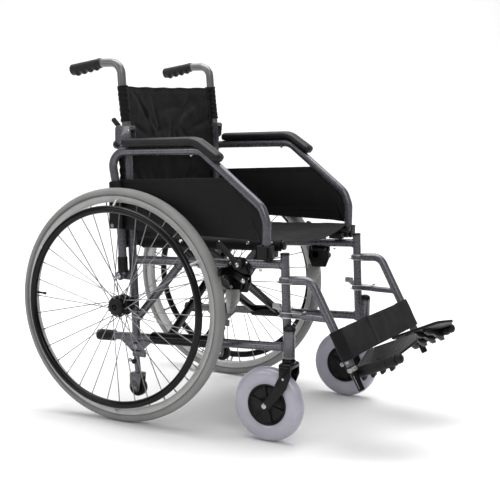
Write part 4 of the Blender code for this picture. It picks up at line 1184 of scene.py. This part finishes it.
def calf_strap():
    """Webbing band round both hangers, closed by an overlap in the middle."""
    down = (HANGER_END - HANGER_BEND).normalized()
    front = Vector((0, down.z, -down.y))
    top = HANGER_BEND + down * 133
    width = 76.0
    for side, word in SIDES:
        layer = 17.2 if side < 0 else 14.6
        reach = 46.0 if side < 0 else 60.0
        start = -side * reach
        outline = []
        for i in range(30):
            x = start + (side * FRAME_X - start) * i / 29
            sag = -4.0 * math.sin(math.pi * max(0, (abs(x - start)) / (FRAME_X + reach)))
            outline.append((x, layer + sag))
        for i in range(1, 15):
            turn = math.radians(90 - 180 * i / 14)
            outline.append((side * (FRAME_X + 14.6 * math.cos(turn)),
                            14.6 * math.sin(turn) + (layer - 14.6) * (1 - i / 14)))
        for i in range(1, 12):
            outline.append((side * (FRAME_X - 5.5 * i), -14.6 + 1.3 * i if i < 9 else -4.2 + 0.3 * i))
        count = len(outline) - 1

        def place(u, v):
            i = min(count - 1, int(u * count))
            t = u * count - i
            x = outline[i][0] * (1 - t) + outline[i + 1][0] * t
            d = outline[i][1] * (1 - t) + outline[i + 1][1] * t
            d += fuzz(x, v * width, side * 7, 38, 1.3)
            slip = 3.0 * math.sin(x / 120.0) if abs(x) < 200 else 0
            return Vector((x, 0, 0)) + top + down * (width * v + slip * 0.4) + front * d
        reach_round = sum(math.dist(a, b) for a, b in zip(outline, outline[1:]))
        piece = Shape().grid(reach_round, width, place, 2.2, count, 16).finish(
            word + "_calf_band", "webbing", word + "_legrest", (word + "_calf_strap",), sharp=70)
        stitches = Shape()
        for v in (0.07, 0.93):
            for i in range(0, 29):
                stitches.stitch(place((i + 0.1) / count, v), place((i + 0.65) / count, v), front * 1.5, 0.55)
        sewn = stitches.finish(word + "_calf_stitches", "thread", word + "_legrest")
        for soft in (piece, sewn):
            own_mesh(soft)


# ---------------------------------------------------------------- stage, light and camera
def stage():
    """Pale floor that curves up into a wall behind the chair, lit by large soft boxes."""
    bm = bmesh.new()
    behind = Matrix.Rotation(math.radians(CAMERA_YAW), 3, "Z")
    profile = [(-7.0, 0.0), (2.4, 0.0)]
    profile += [(2.4 + 2.5 * math.sin(math.radians(a)), 2.5 - 2.5 * math.cos(math.radians(a)))
                for a in range(5, 91, 5)]
    profile.append((4.9, 6.0))
    rows = [[bm.verts.new(behind @ Vector((x, y, z - 0.0005))) for x in (-9.0, 9.0)] for y, z in profile]
    for near, far in zip(rows, rows[1:]):
        bm.faces.new((near[0], near[1], far[1], far[0]))
    mesh = bpy.data.meshes.new("floor")
    bm.to_mesh(mesh)
    bm.free()
    mesh.materials.append(LOOK["floor"])
    mesh.shade_smooth()
    floor = bpy.data.objects.new("floor", mesh)
    bpy.context.scene.collection.objects.link(floor)
    world = bpy.data.worlds.new("studio")
    bpy.context.scene.world = world
    world.use_nodes = True
    background = world.node_tree.nodes["Background"]
    background.inputs["Color"].default_value = (1, 1, 1, 1)
    background.inputs["Strength"].default_value = 0.35
    bpy.context.scene.view_settings.view_transform = "Standard"
    for name, place, aim, size, power in (
            ("top", (0.2, 0.2, 3.4), (0, 0, 0), 4.0, 120),
            ("key", (-3.0, -2.4, 2.6), (0, 0, 0.45), 1.6, 34),
            ("side", (-3.0, 1.6, 1.6), (0, 0, 0.45), 1.2, 14),
            ("wall", (0.6, 0.4, 3.8), (3.4, 2.2, 1.0), 3.0, 130)):
        light = bpy.data.lights.new(name, "AREA")
        light.size = size
        light.energy = power
        obj = bpy.data.objects.new(name, light)
        obj.location = place
        obj.rotation_euler = (Vector(aim) - Vector(place)).to_track_quat("-Z", "Y").to_euler()
        bpy.context.scene.collection.objects.link(obj)


CAMERA_PLACE = (-2675.8, -1609.5, 867.9)
CAMERA_YAW = -62.6
CAMERA_PITCH = -8.2
CAMERA_ROLL = 1.0
CAMERA_LENS = 81.12


def camera():
    data = bpy.data.cameras.new("camera")
    data.lens = CAMERA_LENS
    data.sensor_width = 36.0
    obj = bpy.data.objects.new("camera", data)
    turn = (Matrix.Rotation(math.radians(CAMERA_YAW), 4, "Z")
            @ Matrix.Rotation(math.radians(90 + CAMERA_PITCH), 4, "X")
            @ Matrix.Rotation(math.radians(CAMERA_ROLL), 4, "Z"))
    obj.matrix_world = Matrix.Translation(metres(CAMERA_PLACE)) @ turn
    bpy.context.scene.collection.objects.link(obj)
    bpy.context.scene.camera = obj


camera()
stage()
for side, word in SIDES:
    side_frame(side, word)
    tipping_grip(side, word)
    armrest_socket(side, word)
    transit_wheels(side, word)
    rear_wheel(side, word)
    axles(side, word)
    castor(side, word)
    brakes(side, word)
    armrest(side, word)
    push_handle(side, word)
    legrest(side, word)
back_cloth()
brace("brace_a", -1, 0.0)
brace("brace_b", 1, 18.0)
seat()
calf_strap()
